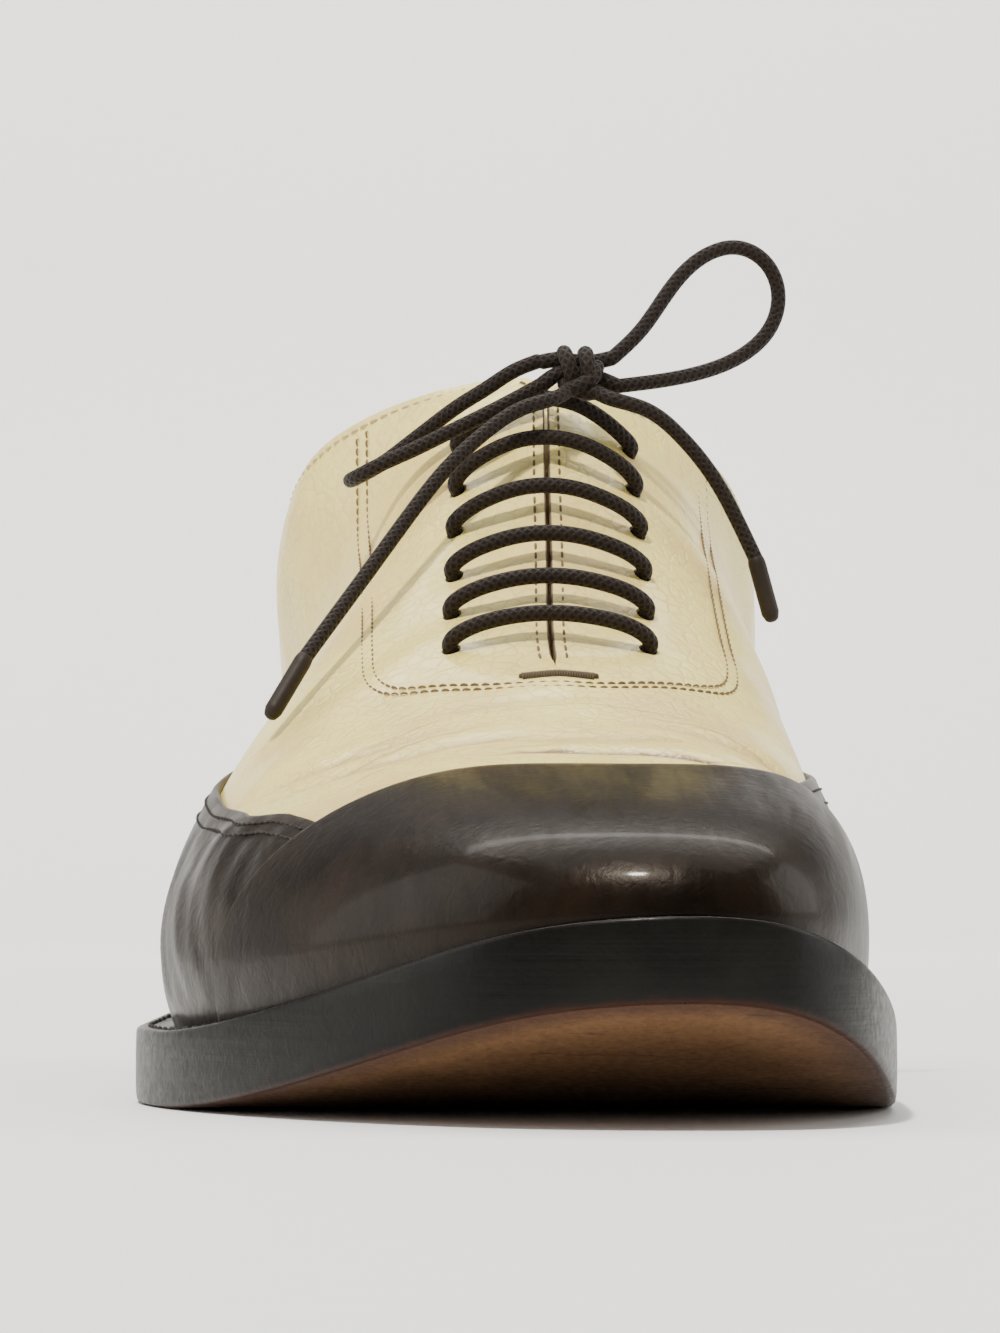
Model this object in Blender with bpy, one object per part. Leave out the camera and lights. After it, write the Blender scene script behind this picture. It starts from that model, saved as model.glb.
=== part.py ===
"""Spectator oxford for the right foot, standing on its sole.

Lengths are in metres. +X is the medial side, -Y the toe and +Z up. The origin is the
middle of the flat face under the heel.

The upper is worked out from one function, skin(side, p, v). p runs round the feather
line, where last and sole meet, from 0 at the toe tip to 1 at the back of the heel, on the
lateral side (-1) or the medial side (+1). v runs up the last from 0 at the feather line
to 1 at the ridge of the instep or, behind the throat, at a crown above the collar.
"""
import math

import bmesh
import bpy
import numpy as np

# Last
LAST_LENGTH = 0.291
BALL_WIDTH = 0.0874
INSTEP_HEIGHT = 0.1025
COLLAR_HEIGHT = 0.091
COLLAR_DIP = 0.0105

# Sole and heel
SOLE_THICKNESS = 0.0102
SOLE_EXTENSION = 0.0065
TOE_SPRING = 0.0137
HEEL_SEAT_HEIGHT = 0.033
HEEL_LENGTH = 0.066
HEEL_TAPER = 0.0015
TOP_PIECE_THICKNESS = 0.0055
INSOLE_THICKNESS = 0.0025

# Upper
WALL = 0.002
OVERLAY_WALL = 0.0012
CAP_LENGTH = 0.053
CAP_LEAN = 0.010
THROAT_GAP = 0.001
TONGUE_WALL = 0.002
TONGUE_HALF_WIDTH = 0.021
TONGUE_ABOVE_THROAT = 0.006

# Lacing
LACE_DIAMETER = 0.0022
EYELET_RADIUS = 0.0017
EYELET_SETBACK = 0.0135
BAR_RISE = 0.0034
KNOTTED_BAR_RISE = 0.0027
AGLET_DIAMETER = 0.0026
KNOT_SIZE = (0.0105, 0.0072, 0.0072)

# Gap between pieces that touch
CLEARANCE = 0.0003
MERGE_DISTANCE = 1e-5

# Places along p
FAN_END = 0.34
THROAT_BOTTOM = 0.435
THROAT_TOP = 0.68
THROAT_OPENING = 0.012
COLLAR_BLEND = (0.66, 0.76)
REACH_BLEND = (0.60, 0.85)

# Steps for slopes and halvings for searches
PLAN_STEP = 1e-4
RIDGE_STEP = 0.0005
SURFACE_STEP = 1e-3
PLACE_STEP = 1e-6
HALVINGS = 40

LATERAL = -1
MEDIAL = 1


def table(columns, rows):
    """Return the rows as one array for each named column."""
    return dict(zip(columns.split(), np.array(rows, float).T))


# Feather line: u as a share of LAST_LENGTH, w as a share of BALL_WIDTH
FEATHER = table("p lateral_u lateral_w medial_u medial_w", [
    (0.000, 1.0000, 0.103, 1.0000, 0.103),
    (0.035, 0.9930, -0.023, 0.9930, 0.206),
    (0.075, 0.9725, -0.137, 0.9670, 0.280),
    (0.125, 0.9330, -0.252, 0.9240, 0.332),
    (0.190, 0.8710, -0.383, 0.8570, 0.373),
    (0.260, 0.7900, -0.509, 0.7770, 0.399),
    (0.340, 0.6960, -0.589, 0.6840, 0.410),
    (0.420, 0.6030, -0.578, 0.5910, 0.375),
    (0.505, 0.5100, -0.509, 0.4980, 0.316),
    (0.595, 0.4120, -0.429, 0.3990, 0.286),
    (0.685, 0.3090, -0.383, 0.2990, 0.300),
    (0.775, 0.2060, -0.372, 0.1990, 0.332),
    (0.850, 0.1200, -0.355, 0.1170, 0.334),
    (0.912, 0.0515, -0.286, 0.0500, 0.280),
    (0.957, 0.0137, -0.160, 0.0137, 0.160),
    (1.000, 0.0000, 0.000, 0.0000, 0.000),
])

# Arch: u as a share of LAST_LENGTH, rise as a share of the heel seat over the ball
ARCH = table("u rise", [
    (-0.05, 1.010),
    (0.000, 1.000),
    (0.103, 0.934),
    (0.223, 0.838),
    (0.344, 0.570),
    (0.447, 0.272),
    (0.550, 0.066),
    (0.653, 0.000),
    (1.100, 0.000),
])
TOE_ROLL_START = 0.739
TOE_ROLL_POWER = 1.9

# Sole edge beyond the feather line, as a share of SOLE_EXTENSION
EDGE = table("p share", [
    (0.00, 0.85),
    (0.30, 1.00),
    (0.50, 0.92),
    (0.60, 0.54),
    (0.75, 0.31),
    (1.00, 0.31),
])

# Instep ridge: shares of LAST_LENGTH, BALL_WIDTH and INSTEP_HEIGHT
RIDGE = table("u w height", [
    (0.344, 0.0000, 1.180),
    (0.4055, 0.0000, 1.093),
    (0.450, 0.0000, 1.000),
    (0.5086, -0.006, 0.8585),
    (0.567, -0.0114, 0.717),
    (0.6426, -0.0114, 0.575),
    (0.7216, 0.0400, 0.488),
    (0.773, 0.0595, 0.442),
    (0.825, 0.0755, 0.402),
])

# Heads of the columns: directions in degrees, u as a share of LAST_LENGTH, crown
# half widths as shares of BALL_WIDTH, crown height from INSTEP_HEIGHT and COLLAR_HEIGHT
HEADS = table("p splay lateral_droop medial_droop u lateral_crown medial_crown instep collar", [
    (0.000, 0.0, 0.0, 0.0, 0.7216, 0.000, 0.000, 0.498, 0.000),
    (0.075, 30.0, 0.0, 0.0, 0.7216, 0.000, 0.000, 0.541, 0.000),
    (0.160, 58.0, 0.0, 0.0, 0.7216, 0.000, 0.000, 0.589, 0.000),
    (0.250, 80.0, 0.0, 0.0, 0.7216, 0.000, 0.000, 0.640, 0.000),
    (0.340, 90.0, 0.0, 0.0, 0.7216, 0.000, 0.000, 0.692, 0.000),
    (0.420, 90.0, 3.0, 3.0, 0.6530, 0.000, 0.000, 0.737, 0.000),
    (0.505, 90.0, 9.0, 10.0, 0.5770, 0.000, 0.000, 0.786, 0.000),
    (0.595, 90.0, 15.0, 18.0, 0.5086, 0.000, 0.000, 0.836, 0.000),
    (0.685, 92.0, 20.0, 27.0, 0.4470, 0.000, 0.000, 1.000, 0.000),
    (0.775, 95.0, 31.0, 40.0, 0.3640, 0.160, 0.114, 0.834, 0.313),
    (0.850, 105.0, 55.0, 60.0, 0.2680, 0.206, 0.195, 0.580, 0.654),
    (0.912, 125.0, 74.0, 74.0, 0.1500, 0.240, 0.240, 0.250, 1.026),
    (0.957, 150.0, 80.0, 80.0, 0.0500, 0.180, 0.180, 0.100, 1.173),
    (1.000, 180.0, 82.0, 82.0, 0.0137, 0.000, 0.000, 0.000, 1.264),
    (1.043, 210.0, 80.0, 80.0, 0.0500, -0.180, -0.180, 0.100, 1.173),
])

# Bulge of the columns: flare in degrees, rise as a share of height, reach of width
BULGE = table("p lateral_flare lateral_rise lateral_reach medial_flare medial_rise medial_reach", [
    (0.000, 14, 0.66, 0.50, 14, 0.66, 0.50),
    (0.100, 16, 0.66, 0.50, 14, 0.66, 0.50),
    (0.200, 20, 0.66, 0.52, 12, 0.70, 0.54),
    (0.340, 20, 0.72, 0.58, 12, 0.80, 0.66),
    (0.420, 19, 0.75, 0.60, 16, 0.88, 0.76),
    (0.505, 15, 0.76, 0.60, 20, 0.88, 0.76),
    (0.595, 11, 0.62, 0.56, 20, 0.77, 0.64),
    (0.685, 8, 0.46, 0.54, 17, 0.56, 0.53),
    (0.775, 9, 0.36, 0.50, 15, 0.43, 0.46),
    (0.850, 14, 0.34, 0.42, 16, 0.36, 0.42),
    (0.912, 18, 0.34, 0.38, 18, 0.34, 0.38),
    (1.000, 20, 0.34, 0.38, 20, 0.34, 0.38),
])

# Topline: rise as a share of INSTEP_HEIGHT over COLLAR_HEIGHT, dip of COLLAR_DIP
TOPLINE = table("p lateral_rise medial_rise lateral_dip medial_dip", [
    (0.680, 1.00, 1.00, 0.00, 0.00),
    (0.700, 1.15, 1.05, 0.00, 0.00),
    (0.720, 1.12, 0.92, 0.00, 0.00),
    (0.745, 0.84, 0.52, 0.00, 0.00),
    (0.770, 0.40, 0.14, 0.04, 0.08),
    (0.800, 0.06, 0.00, 0.28, 0.32),
    (0.840, 0.00, 0.00, 0.68, 0.68),
    (0.880, 0.00, 0.00, 0.95, 0.90),
    (0.920, 0.00, 0.00, 0.86, 0.80),
    (0.960, 0.00, 0.00, 0.38, 0.38),
    (1.000, 0.00, 0.00, 0.00, 0.00),
])

# Top line of the foxing: u as a share of LAST_LENGTH, height of COLLAR_HEIGHT
FOXING = table("u height", [
    (-0.05, 0.747),
    (0.000, 0.747),
    (0.103, 0.725),
    (0.206, 0.659),
    (0.309, 0.582),
    (0.447, 0.516),
    (0.584, 0.483),
    (0.704, 0.4615),
    (0.808, 0.385),
    (1.050, 0.220),
])

# Eyelet rows up the ridge, from the toe, as shares of LAST_LENGTH
EYELET_ROWS = (0.612, 0.583, 0.554, 0.524, 0.494, 0.465)

# Cells in each stretch of p and in each band of v
CELLS_P = (6, 4, 3, 3, 8, 14)
CELLS_V = (5, 4, 6)

# Routes of the free lace: lateral-medial w, u from the back of the last, and height z
KNOT_CENTRE = (0.0045, 0.1402, 0.1034)
LOOP_RIGHT = (
    (0.0094, 0.1400, 0.1060), (0.0135, 0.1390, 0.1100), (0.0172, 0.1378, 0.1152),
    (0.0206, 0.1367, 0.1194), (0.0243, 0.1356, 0.1220), (0.0280, 0.1347, 0.1228),
    (0.0317, 0.1338, 0.1213), (0.0339, 0.1332, 0.1180), (0.0342, 0.1330, 0.1144),
    (0.0327, 0.1332, 0.1106), (0.0293, 0.1342, 0.1073), (0.0243, 0.1360, 0.1048),
    (0.0185, 0.1380, 0.1032), (0.0102, 0.1400, 0.1019),
)
LOOP_LEFT = (
    (-0.0014, 0.1401, 0.1055), (-0.0048, 0.1392, 0.1042), (-0.0086, 0.1372, 0.1019),
    (-0.0125, 0.1347, 0.0996), (-0.0165, 0.1320, 0.0968), (-0.0205, 0.1300, 0.0938),
    (-0.0242, 0.1293, 0.0911), (-0.0274, 0.1308, 0.0892), (-0.0287, 0.1344, 0.0884),
    (-0.0274, 0.1379, 0.0889), (-0.0243, 0.1397, 0.0904), (-0.0200, 0.1406, 0.0923),
    (-0.0152, 0.1417, 0.0946), (-0.0104, 0.1427, 0.0969), (-0.0057, 0.1429, 0.0993),
    (-0.0009, 0.1416, 0.1020),
)
END_LEFT = (
    (0.0026, 0.1438, 0.1009), (0.0012, 0.1462, 0.0998), (-0.0036, 0.1486, 0.0981),
    (-0.0092, 0.1510, 0.0945), (-0.0150, 0.1545, 0.0890), (-0.0205, 0.1580, 0.0820),
    (-0.0255, 0.1620, 0.0750), (-0.0305, 0.1670, 0.0680), (-0.0355, 0.1720, 0.0610),
)
AGLET_LEFT_TIP = (-0.0402, 0.1760, 0.0530)
END_RIGHT = (
    (0.0069, 0.1434, 0.1007), (0.0086, 0.1453, 0.0997), (0.0134, 0.1452, 0.0983),
    (0.0188, 0.1436, 0.0946), (0.0235, 0.1432, 0.0890), (0.0272, 0.1430, 0.0825),
    (0.0300, 0.1435, 0.0765),
)
AGLET_RIGHT_TIP = (0.0322, 0.1445, 0.0680)


def natural_spline(x, y):
    """Return a function through the points whose ends are free of bending."""
    x = np.asarray(x, float)
    y = np.asarray(y, float)
    count = len(x)
    step = np.diff(x)
    matrix = np.zeros((count, count))
    right = np.zeros(y.shape)
    matrix[0, 0] = 1.0
    matrix[-1, -1] = 1.0
    for i in range(1, count - 1):
        matrix[i, i - 1:i + 2] = (step[i - 1], 2 * (step[i - 1] + step[i]), step[i])
        right[i] = 6 * ((y[i + 1] - y[i]) / step[i] - (y[i] - y[i - 1]) / step[i - 1])
    bend = np.linalg.solve(matrix, right)

    def curve(t):
        t = np.asarray(t, float)
        i = np.clip(np.searchsorted(x, t) - 1, 0, count - 2)
        h = step[i]
        a = (x[i + 1] - t) / h
        b = (t - x[i]) / h
        if y.ndim > 1:
            a = a[..., None]
            b = b[..., None]
            h = h[..., None]
        lift = (a ** 3 - a) * bend[i] + (b ** 3 - b) * bend[i + 1]
        return a * y[i] + b * y[i + 1] + lift * h * h / 6

    return curve


def even_curve(x, y, t):
    """Return y at t on a smooth curve that never overshoots the table's points."""
    h = np.diff(x)
    slope = np.diff(y) / h
    lean = np.zeros(len(x))
    lean[0] = slope[0]
    lean[-1] = slope[-1]
    for i in range(1, len(x) - 1):
        if slope[i - 1] * slope[i] > 0:
            first = 2 * h[i] + h[i - 1]
            second = h[i] + 2 * h[i - 1]
            lean[i] = (first + second) / (first / slope[i - 1] + second / slope[i])
    i = np.clip(np.searchsorted(x, t) - 1, 0, len(x) - 2)
    s = (t - x[i]) / h[i]
    return ((2 * s ** 3 - 3 * s ** 2 + 1) * y[i] + (s ** 3 - 2 * s ** 2 + s) * h[i] * lean[i]
            + (3 * s ** 2 - 2 * s ** 3) * y[i + 1] + (s ** 3 - s ** 2) * h[i] * lean[i + 1])


def smooth_step(low, high, x):
    """Return 0 below low, 1 above high and a soft ramp between."""
    s = np.clip((x - low) / (high - low), 0, 1)
    return s * s * (3 - 2 * s)


def bisect(test, low, high):
    """Return where test changes from true at low to false at high."""
    for _ in range(HALVINGS):
        middle = (low + high) / 2
        if test(middle):
            low = middle
        else:
            high = middle
    return low


def side_name(side):
    """Return the column prefix for a side."""
    return "lateral" if side == LATERAL else "medial"


def closed_feather():
    """Return the feather line as one closed curve of t, from -1 to 1 through the tip."""
    extra = 4
    lateral = np.column_stack((FEATHER["lateral_u"], FEATHER["lateral_w"]))
    medial = np.column_stack((FEATHER["medial_u"], FEATHER["medial_w"]))
    t = np.concatenate((-FEATHER["p"][::-1], FEATHER["p"][1:]))
    points = np.concatenate((lateral[::-1], medial[1:]))
    points = points * (LAST_LENGTH, BALL_WIDTH)
    t = np.concatenate((t[-1 - extra:-1] - 2, t, t[1:1 + extra] + 2))
    points = np.concatenate((points[-1 - extra:-1], points, points[1:1 + extra]))
    return natural_spline(t, points)


feather = closed_feather()
bulge = natural_spline(BULGE["p"], np.column_stack([BULGE[name] for name in list(BULGE)[1:]]))
ridge = natural_spline(
    RIDGE["u"] * LAST_LENGTH,
    np.column_stack((RIDGE["w"] * BALL_WIDTH, RIDGE["height"] * INSTEP_HEIGHT)),
)
topline_curve = natural_spline(
    TOPLINE["p"], np.column_stack([TOPLINE[name] for name in list(TOPLINE)[1:]])
)


def feather_normal(t):
    """Return the outward direction in plan across the feather line."""
    along = feather(t + PLAN_STEP) - feather(t - PLAN_STEP)
    along /= np.linalg.norm(along, axis=-1, keepdims=True)
    return np.stack((along[..., 1], -along[..., 0]), -1)


def feather_offset(t, distance):
    """Return the feather line moved outwards in plan."""
    return feather(t) + feather_normal(t) * np.asarray(distance)[..., None]


def sole_bottom(u):
    """Return the height of the sole's underside at u."""
    share = np.asarray(u, float) / LAST_LENGTH
    seat = HEEL_SEAT_HEIGHT - SOLE_THICKNESS
    arch = even_curve(ARCH["u"], ARCH["rise"], share) * seat
    roll = np.clip((share - TOE_ROLL_START) / (1 - TOE_ROLL_START), 0, None)
    return arch + TOE_SPRING * roll ** TOE_ROLL_POWER


def sole_top(u):
    """Return the height of the sole's upper face at u."""
    return sole_bottom(u) + SOLE_THICKNESS


def head(name, p):
    """Return a column of the HEADS table at p."""
    return even_curve(HEADS["p"], HEADS[name], p)


def column(side, p):
    """Return the four control points of the last's columns at p, as u, w and z."""
    p = np.asarray(p, float)
    name = side_name(side)
    foot_plan = feather(side * p)
    normal = feather_normal(side * p)
    foot_z = sole_top(foot_plan[..., 0]) + CLEARANCE
    foot = np.concatenate((foot_plan, foot_z[..., None]), -1)
    splay = np.radians(head("splay", p))
    droop = np.radians(head(name + "_droop", p))
    u = np.where(p <= FAN_END, HEADS["u"][0], head("u", p)) * LAST_LENGTH
    low = RIDGE["u"][0] * LAST_LENGTH
    high = RIDGE["u"][-1] * LAST_LENGTH
    crest = ridge(np.clip(u, low, high))
    open_share = smooth_step(THROAT_BOTTOM, THROAT_BOTTOM + THROAT_OPENING, p)
    half_gap = THROAT_GAP / 2 * open_share * (1 - smooth_step(THROAT_TOP, 1.0, p))
    w = crest[..., 0] + side * (head(name + "_crown", p) * BALL_WIDTH + half_gap)
    crown = head("instep", p) * INSTEP_HEIGHT + head("collar", p) * COLLAR_HEIGHT
    blend = smooth_step(*COLLAR_BLEND, p)
    z = crest[..., 1] * (1 - blend) + crown * blend
    top = np.stack((u, w, z), -1)
    shape = bulge(p)
    first = 0 if side == LATERAL else 3
    flare = np.radians(shape[..., first])
    height = z - foot_z
    width = np.linalg.norm(top[..., :2] - foot_plan, axis=-1)
    lean = np.sin(flare)
    up = np.stack((normal[..., 0] * lean, normal[..., 1] * lean, np.cos(flare)), -1)
    lower = foot + up * (shape[..., first + 1] * height)[..., None]
    ahead = ridge(np.clip(u + RIDGE_STEP, low, high))
    behind = ridge(np.clip(u - RIDGE_STEP, low, high))
    slope = (ahead - behind)[..., 1] / (2 * RIDGE_STEP)
    fall = -np.sin(droop) + np.where(p <= FAN_END, np.cos(splay) * slope, 0)
    away = np.stack((np.cos(splay) * np.cos(droop), side * np.sin(splay) * np.cos(droop), fall), -1)
    away /= np.linalg.norm(away, axis=-1, keepdims=True)
    span = np.linalg.norm(top - foot, axis=-1)
    mix = smooth_step(*REACH_BLEND, p)
    reach = shape[..., first + 2] * (width * (1 - mix) + span * mix)
    upper = top + away * reach[..., None]
    return np.stack((foot, lower, upper, top), -2)


def skin(side, p, v):
    """Return points of the last's surface, as u, w and z."""
    points = column(side, p)
    v = np.asarray(v, float)[..., None]
    a, b, c, d = (points[..., i, :] for i in range(4))
    return (1 - v) ** 3 * a + 3 * (1 - v) ** 2 * v * b + 3 * (1 - v) * v ** 2 * c + v ** 3 * d


def skin_point(side, p, v):
    """Return one point of the last's surface."""
    return skin(side, np.array(p, float), np.array(v, float))


def skin_normal(side, p, v):
    """Return the outward direction of the last's surface at one point."""
    along = skin_point(side, p + SURFACE_STEP, v) - skin_point(side, p - SURFACE_STEP, v)
    above = skin_point(side, p, min(v + SURFACE_STEP, 1))
    below = skin_point(side, p, max(v - SURFACE_STEP, 0))
    rising = above - below
    normal = np.cross(rising, along) * side
    return -normal / np.linalg.norm(normal)


def collar_height(side, p):
    """Return the height of the topline at p."""
    lateral_rise, medial_rise, lateral_dip, medial_dip = topline_curve(p)
    rise = lateral_rise if side == LATERAL else medial_rise
    dip = lateral_dip if side == LATERAL else medial_dip
    return COLLAR_HEIGHT + rise * (INSTEP_HEIGHT - COLLAR_HEIGHT) - dip * COLLAR_DIP


def v_collar(side, p):
    """Return v where the upper ends: the ridge, or the topline behind the throat."""
    if p <= THROAT_TOP:
        return 1.0
    limit = collar_height(side, p)
    if skin_point(side, p, 1.0)[2] <= limit:
        return 1.0
    return bisect(lambda v: skin_point(side, p, v)[2] < limit, 0.3, 1.0)


def ahead_of_cap_seam(side, p, v):
    """Return whether a point of the skin lies in front of the toe cap's seam."""
    u, _, z = skin_point(side, p, v)
    seam_top = LAST_LENGTH - CAP_LENGTH
    ridge_z = ridge(seam_top)[1]
    low = sole_top(seam_top - CAP_LEAN)
    return u > seam_top - CAP_LEAN * (ridge_z - z) / (ridge_z - low)


def below_foxing_line(side, p, v):
    """Return whether a point of the skin lies below the foxing's top line."""
    u, _, z = skin_point(side, p, v)
    return z < even_curve(FOXING["u"], FOXING["height"], u / LAST_LENGTH) * COLLAR_HEIGHT


def v_cap(side, p):
    """Return v of the toe cap's seam, 0 where the cap has ended."""
    if not ahead_of_cap_seam(side, p, 0.0):
        return 0.0
    return bisect(lambda v: ahead_of_cap_seam(side, p, v), 0.0, 1.0)


def v_foxing(side, p):
    """Return v of the foxing's top line."""
    return bisect(lambda v: below_foxing_line(side, p, v), 0.0, 1.0)


def to_world(points):
    """Turn u, w and z into the model's X, Y and Z."""
    points = np.asarray(points, float)
    return np.stack((points[..., 1], HEEL_LENGTH / 2 - points[..., 0], points[..., 2]), -1)


def world_u(y):
    """Return u at a Y of the model."""
    return HEEL_LENGTH / 2 - y


class Sheet:
    """The upper's surface as a grid of columns along t and rows up v."""

    def __init__(self):
        self.t = []
        self.rows = []
        self.meet = {}
        for side in (LATERAL, MEDIAL):
            end = bisect(lambda p: ahead_of_cap_seam(side, p, 0.0), 0.05, FAN_END)
            start = bisect(lambda p: v_foxing(side, p) < v_cap(side, p) or p < 0.02, 0.0, end)
            self.meet[side] = (start, end)
            stops = (0.0, start, end, FAN_END, THROAT_BOTTOM, THROAT_TOP, 1.0)
            places = [0.0]
            for low, high, cells in zip(stops, stops[1:], CELLS_P):
                places += list(np.linspace(low, high, cells + 1)[1:])
            columns = [(side * p, self.bands(side, p, start, end)) for p in places]
            if side == LATERAL:
                ordered = columns[::-1]
            else:
                ordered = columns[1:]
            for t, values in ordered:
                self.t.append(t)
                self.rows.append(values)
        grid = []
        for t, values in zip(self.t, self.rows):
            side = LATERAL if t <= 0 else MEDIAL
            grid.append(skin(side, np.full(len(values), abs(t)), values))
        self.points = to_world(np.array(grid))
        self.number_vertices()
        self.normals = self.vertex_normals()

    @staticmethod
    def bands(side, p, start, end):
        """Return v up a column: cap band, foxing band and the rest to the collar."""
        cap = v_cap(side, p) if p < end else 0.0
        foxing = v_foxing(side, p) if p > start else cap
        stops = (0.0, cap, max(cap, foxing), v_collar(side, p))
        values = [0.0]
        for low, high, cells in zip(stops, stops[1:], CELLS_V):
            values += list(np.linspace(low, high, cells + 1)[1:])
        return np.array(values)

    def number_vertices(self):
        """Give grid nodes that meet one number."""
        seen = {}
        self.places = []
        self.index = np.zeros(self.points.shape[:2], int)
        for i, j in np.ndindex(self.index.shape):
            key = tuple(np.round(self.points[i, j] / MERGE_DISTANCE).astype(int))
            if key not in seen:
                seen[key] = len(self.places)
                self.places.append(self.points[i, j])
            self.index[i, j] = seen[key]
        self.places = np.array(self.places)

    def cell(self, i, j):
        """Return a cell's corners, without repeats."""
        corners = []
        for a, b in ((i, j), (i + 1, j), (i + 1, j + 1), (i, j + 1)):
            number = self.index[a, b]
            if number not in corners:
                corners.append(number)
        return corners

    def cells(self, columns, rows):
        """Return the triangles of a block of cells, split the same way everywhere."""
        faces = []
        for i in columns:
            for j in rows:
                corners = self.cell(i, j)
                for k in range(1, len(corners) - 1):
                    faces.append([corners[0], corners[k], corners[k + 1]])
        return faces

    def vertex_normals(self):
        """Return each vertex's outward direction."""
        normals = np.zeros_like(self.places)
        columns, rows = self.index.shape
        for face in self.cells(range(columns - 1), range(rows - 1)):
            corners = self.places[face]
            area = np.zeros(3)
            for k in range(1, len(face) - 1):
                area += np.cross(corners[k] - corners[0], corners[k + 1] - corners[0])
            normals[face] += area
        for i in range(columns):
            foot = self.index[i, 0]
            normals[foot, 2] = 0
            if THROAT_BOTTOM < abs(self.t[i]) <= THROAT_TOP:
                normals[self.index[i, -1], 0] = 0
        return normals / np.linalg.norm(normals, axis=1, keepdims=True)


def material(name, color, roughness, metallic=0.0):
    """Return a Principled material."""
    made = bpy.data.materials.new(name)
    made.use_nodes = True
    shader = made.node_tree.nodes["Principled BSDF"]
    shader.inputs["Base Color"].default_value = (*color, 1.0)
    shader.inputs["Roughness"].default_value = roughness
    shader.inputs["Metallic"].default_value = metallic
    return made


def add_mesh(name, vertices, faces, color, roughness):
    """Make a mesh object with its own material."""
    mesh = bpy.data.meshes.new(name)
    mesh.from_pydata([tuple(v) for v in vertices], [], [tuple(f) for f in faces])
    mesh.update()
    mesh.shade_smooth()
    mesh.set_sharp_from_angle(angle=math.radians(40))
    mesh.materials.append(material(name, color, roughness))
    made = bpy.data.objects.new(name, mesh)
    bpy.context.scene.collection.objects.link(made)
    return made


def close_shell(outer, inner, faces):
    """Return vertices and faces of the solid between two offsets of one sheet."""
    used = sorted({number for face in faces for number in face})
    place = {number: k for k, number in enumerate(used)}
    count = len(used)
    vertices = np.concatenate((outer[used], inner[used]))
    solid = [[place[n] for n in face] for face in faces]
    edges = {edge: None for face in solid for edge in zip(face, face[1:] + face[:1])}
    back = [[n + count for n in reversed(face)] for face in solid]
    rims = [[b, a, a + count, b + count] for a, b in edges if (b, a) not in edges]
    return vertices, solid + back + rims


def offset_sheet(sheet, distance, places=None):
    """Return the sheet's vertices moved along their normals, feet kept on the sole."""
    places = sheet.places if places is None else places
    moved = places + sheet.normals * distance
    feet = np.unique(sheet.index[:, 0])
    moved[feet, 2] = sole_top(world_u(moved[feet, 1])) + CLEARANCE
    return moved


def paired_outline(distance_of, places):
    """Return lateral and medial edge points, offset outwards by distance_of(p)."""
    sides = []
    for side in (LATERAL, MEDIAL):
        distances = np.array([distance_of(p) for p in places])
        sides.append(feather_offset(side * np.array(places), distances))
    return sides


def plate(lateral, medial, top, bottom):
    """Return a closed plate between two edges, with heights given as functions of u."""
    loops = []
    for height in (top, bottom):
        ring = np.concatenate((lateral, medial[-2:0:-1]))
        z = height(ring[:, 0])
        loops.append(to_world(np.column_stack((ring, z))))
    count = len(loops[0])
    rows = len(lateral)
    partner = [0] + [count - k for k in range(1, rows - 1)] + [rows - 1]
    faces = []
    for k in range(rows - 1):
        face = [k, k + 1, partner[k + 1], partner[k]]
        face = list(dict.fromkeys(face))
        faces.append(face)
    faces = [face[::-1] for face in faces]
    under = [[n + count for n in reversed(face)] for face in faces]
    sides = []
    for k in range(count):
        following = (k + 1) % count
        sides.append([k, following, following + count, k + count])
    sides = [face[::-1] for face in sides]
    return np.concatenate(loops), faces + under + sides


def outward(made):
    """Turn a closed mesh's faces outwards."""
    mesh = bmesh.new()
    mesh.from_mesh(made.data)
    bmesh.ops.recalc_face_normals(mesh, faces=mesh.faces)
    mesh.to_mesh(made.data)
    mesh.free()
    return made


def sole_places(sheet):
    """Return the places along p of the sole's cross lines."""
    return [0.0] + sorted({round(float(t), 6) for t in sheet.t if t > 0})


def edge_distance(p):
    """Return how far the sole's edge stands out at p."""
    return float(even_curve(EDGE["p"], EDGE["share"], p)) * SOLE_EXTENSION


def build_outsole(sheet):
    """Make the outsole, one plate from toe to heel."""
    lateral, medial = paired_outline(edge_distance, sole_places(sheet))
    vertices, faces = plate(lateral, medial, sole_top, sole_bottom)
    return outward(add_mesh("outsole", vertices, faces, (0.030, 0.026, 0.024), 0.42))


def build_insole(sheet):
    """Make the insole, inside the foot of the upper's wall."""
    inset = WALL + 3 * CLEARANCE
    lateral, medial = paired_outline(lambda p: -inset, sole_places(sheet))

    def top(u):
        return sole_top(u) + CLEARANCE + INSOLE_THICKNESS

    def bottom(u):
        return sole_top(u) + CLEARANCE

    vertices, faces = plate(lateral, medial, top, bottom)
    return outward(add_mesh("insole", vertices, faces, (0.52, 0.37, 0.22), 0.7))


def heel_outline(taper):
    """Return the heel's lateral and medial edges, from its breast to the back."""
    sides = []
    for side in (LATERAL, MEDIAL):
        first = bisect(lambda p: feather(np.array(side * p))[0] > HEEL_LENGTH, 0.5, 0.95)
        places = np.linspace(first, 1.0, 13)
        distances = np.array([edge_distance(p) for p in places]) - taper
        edge = feather_offset(side * places, distances)
        edge[0, 0] = HEEL_LENGTH
        sides.append(edge)
    return sides


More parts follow.
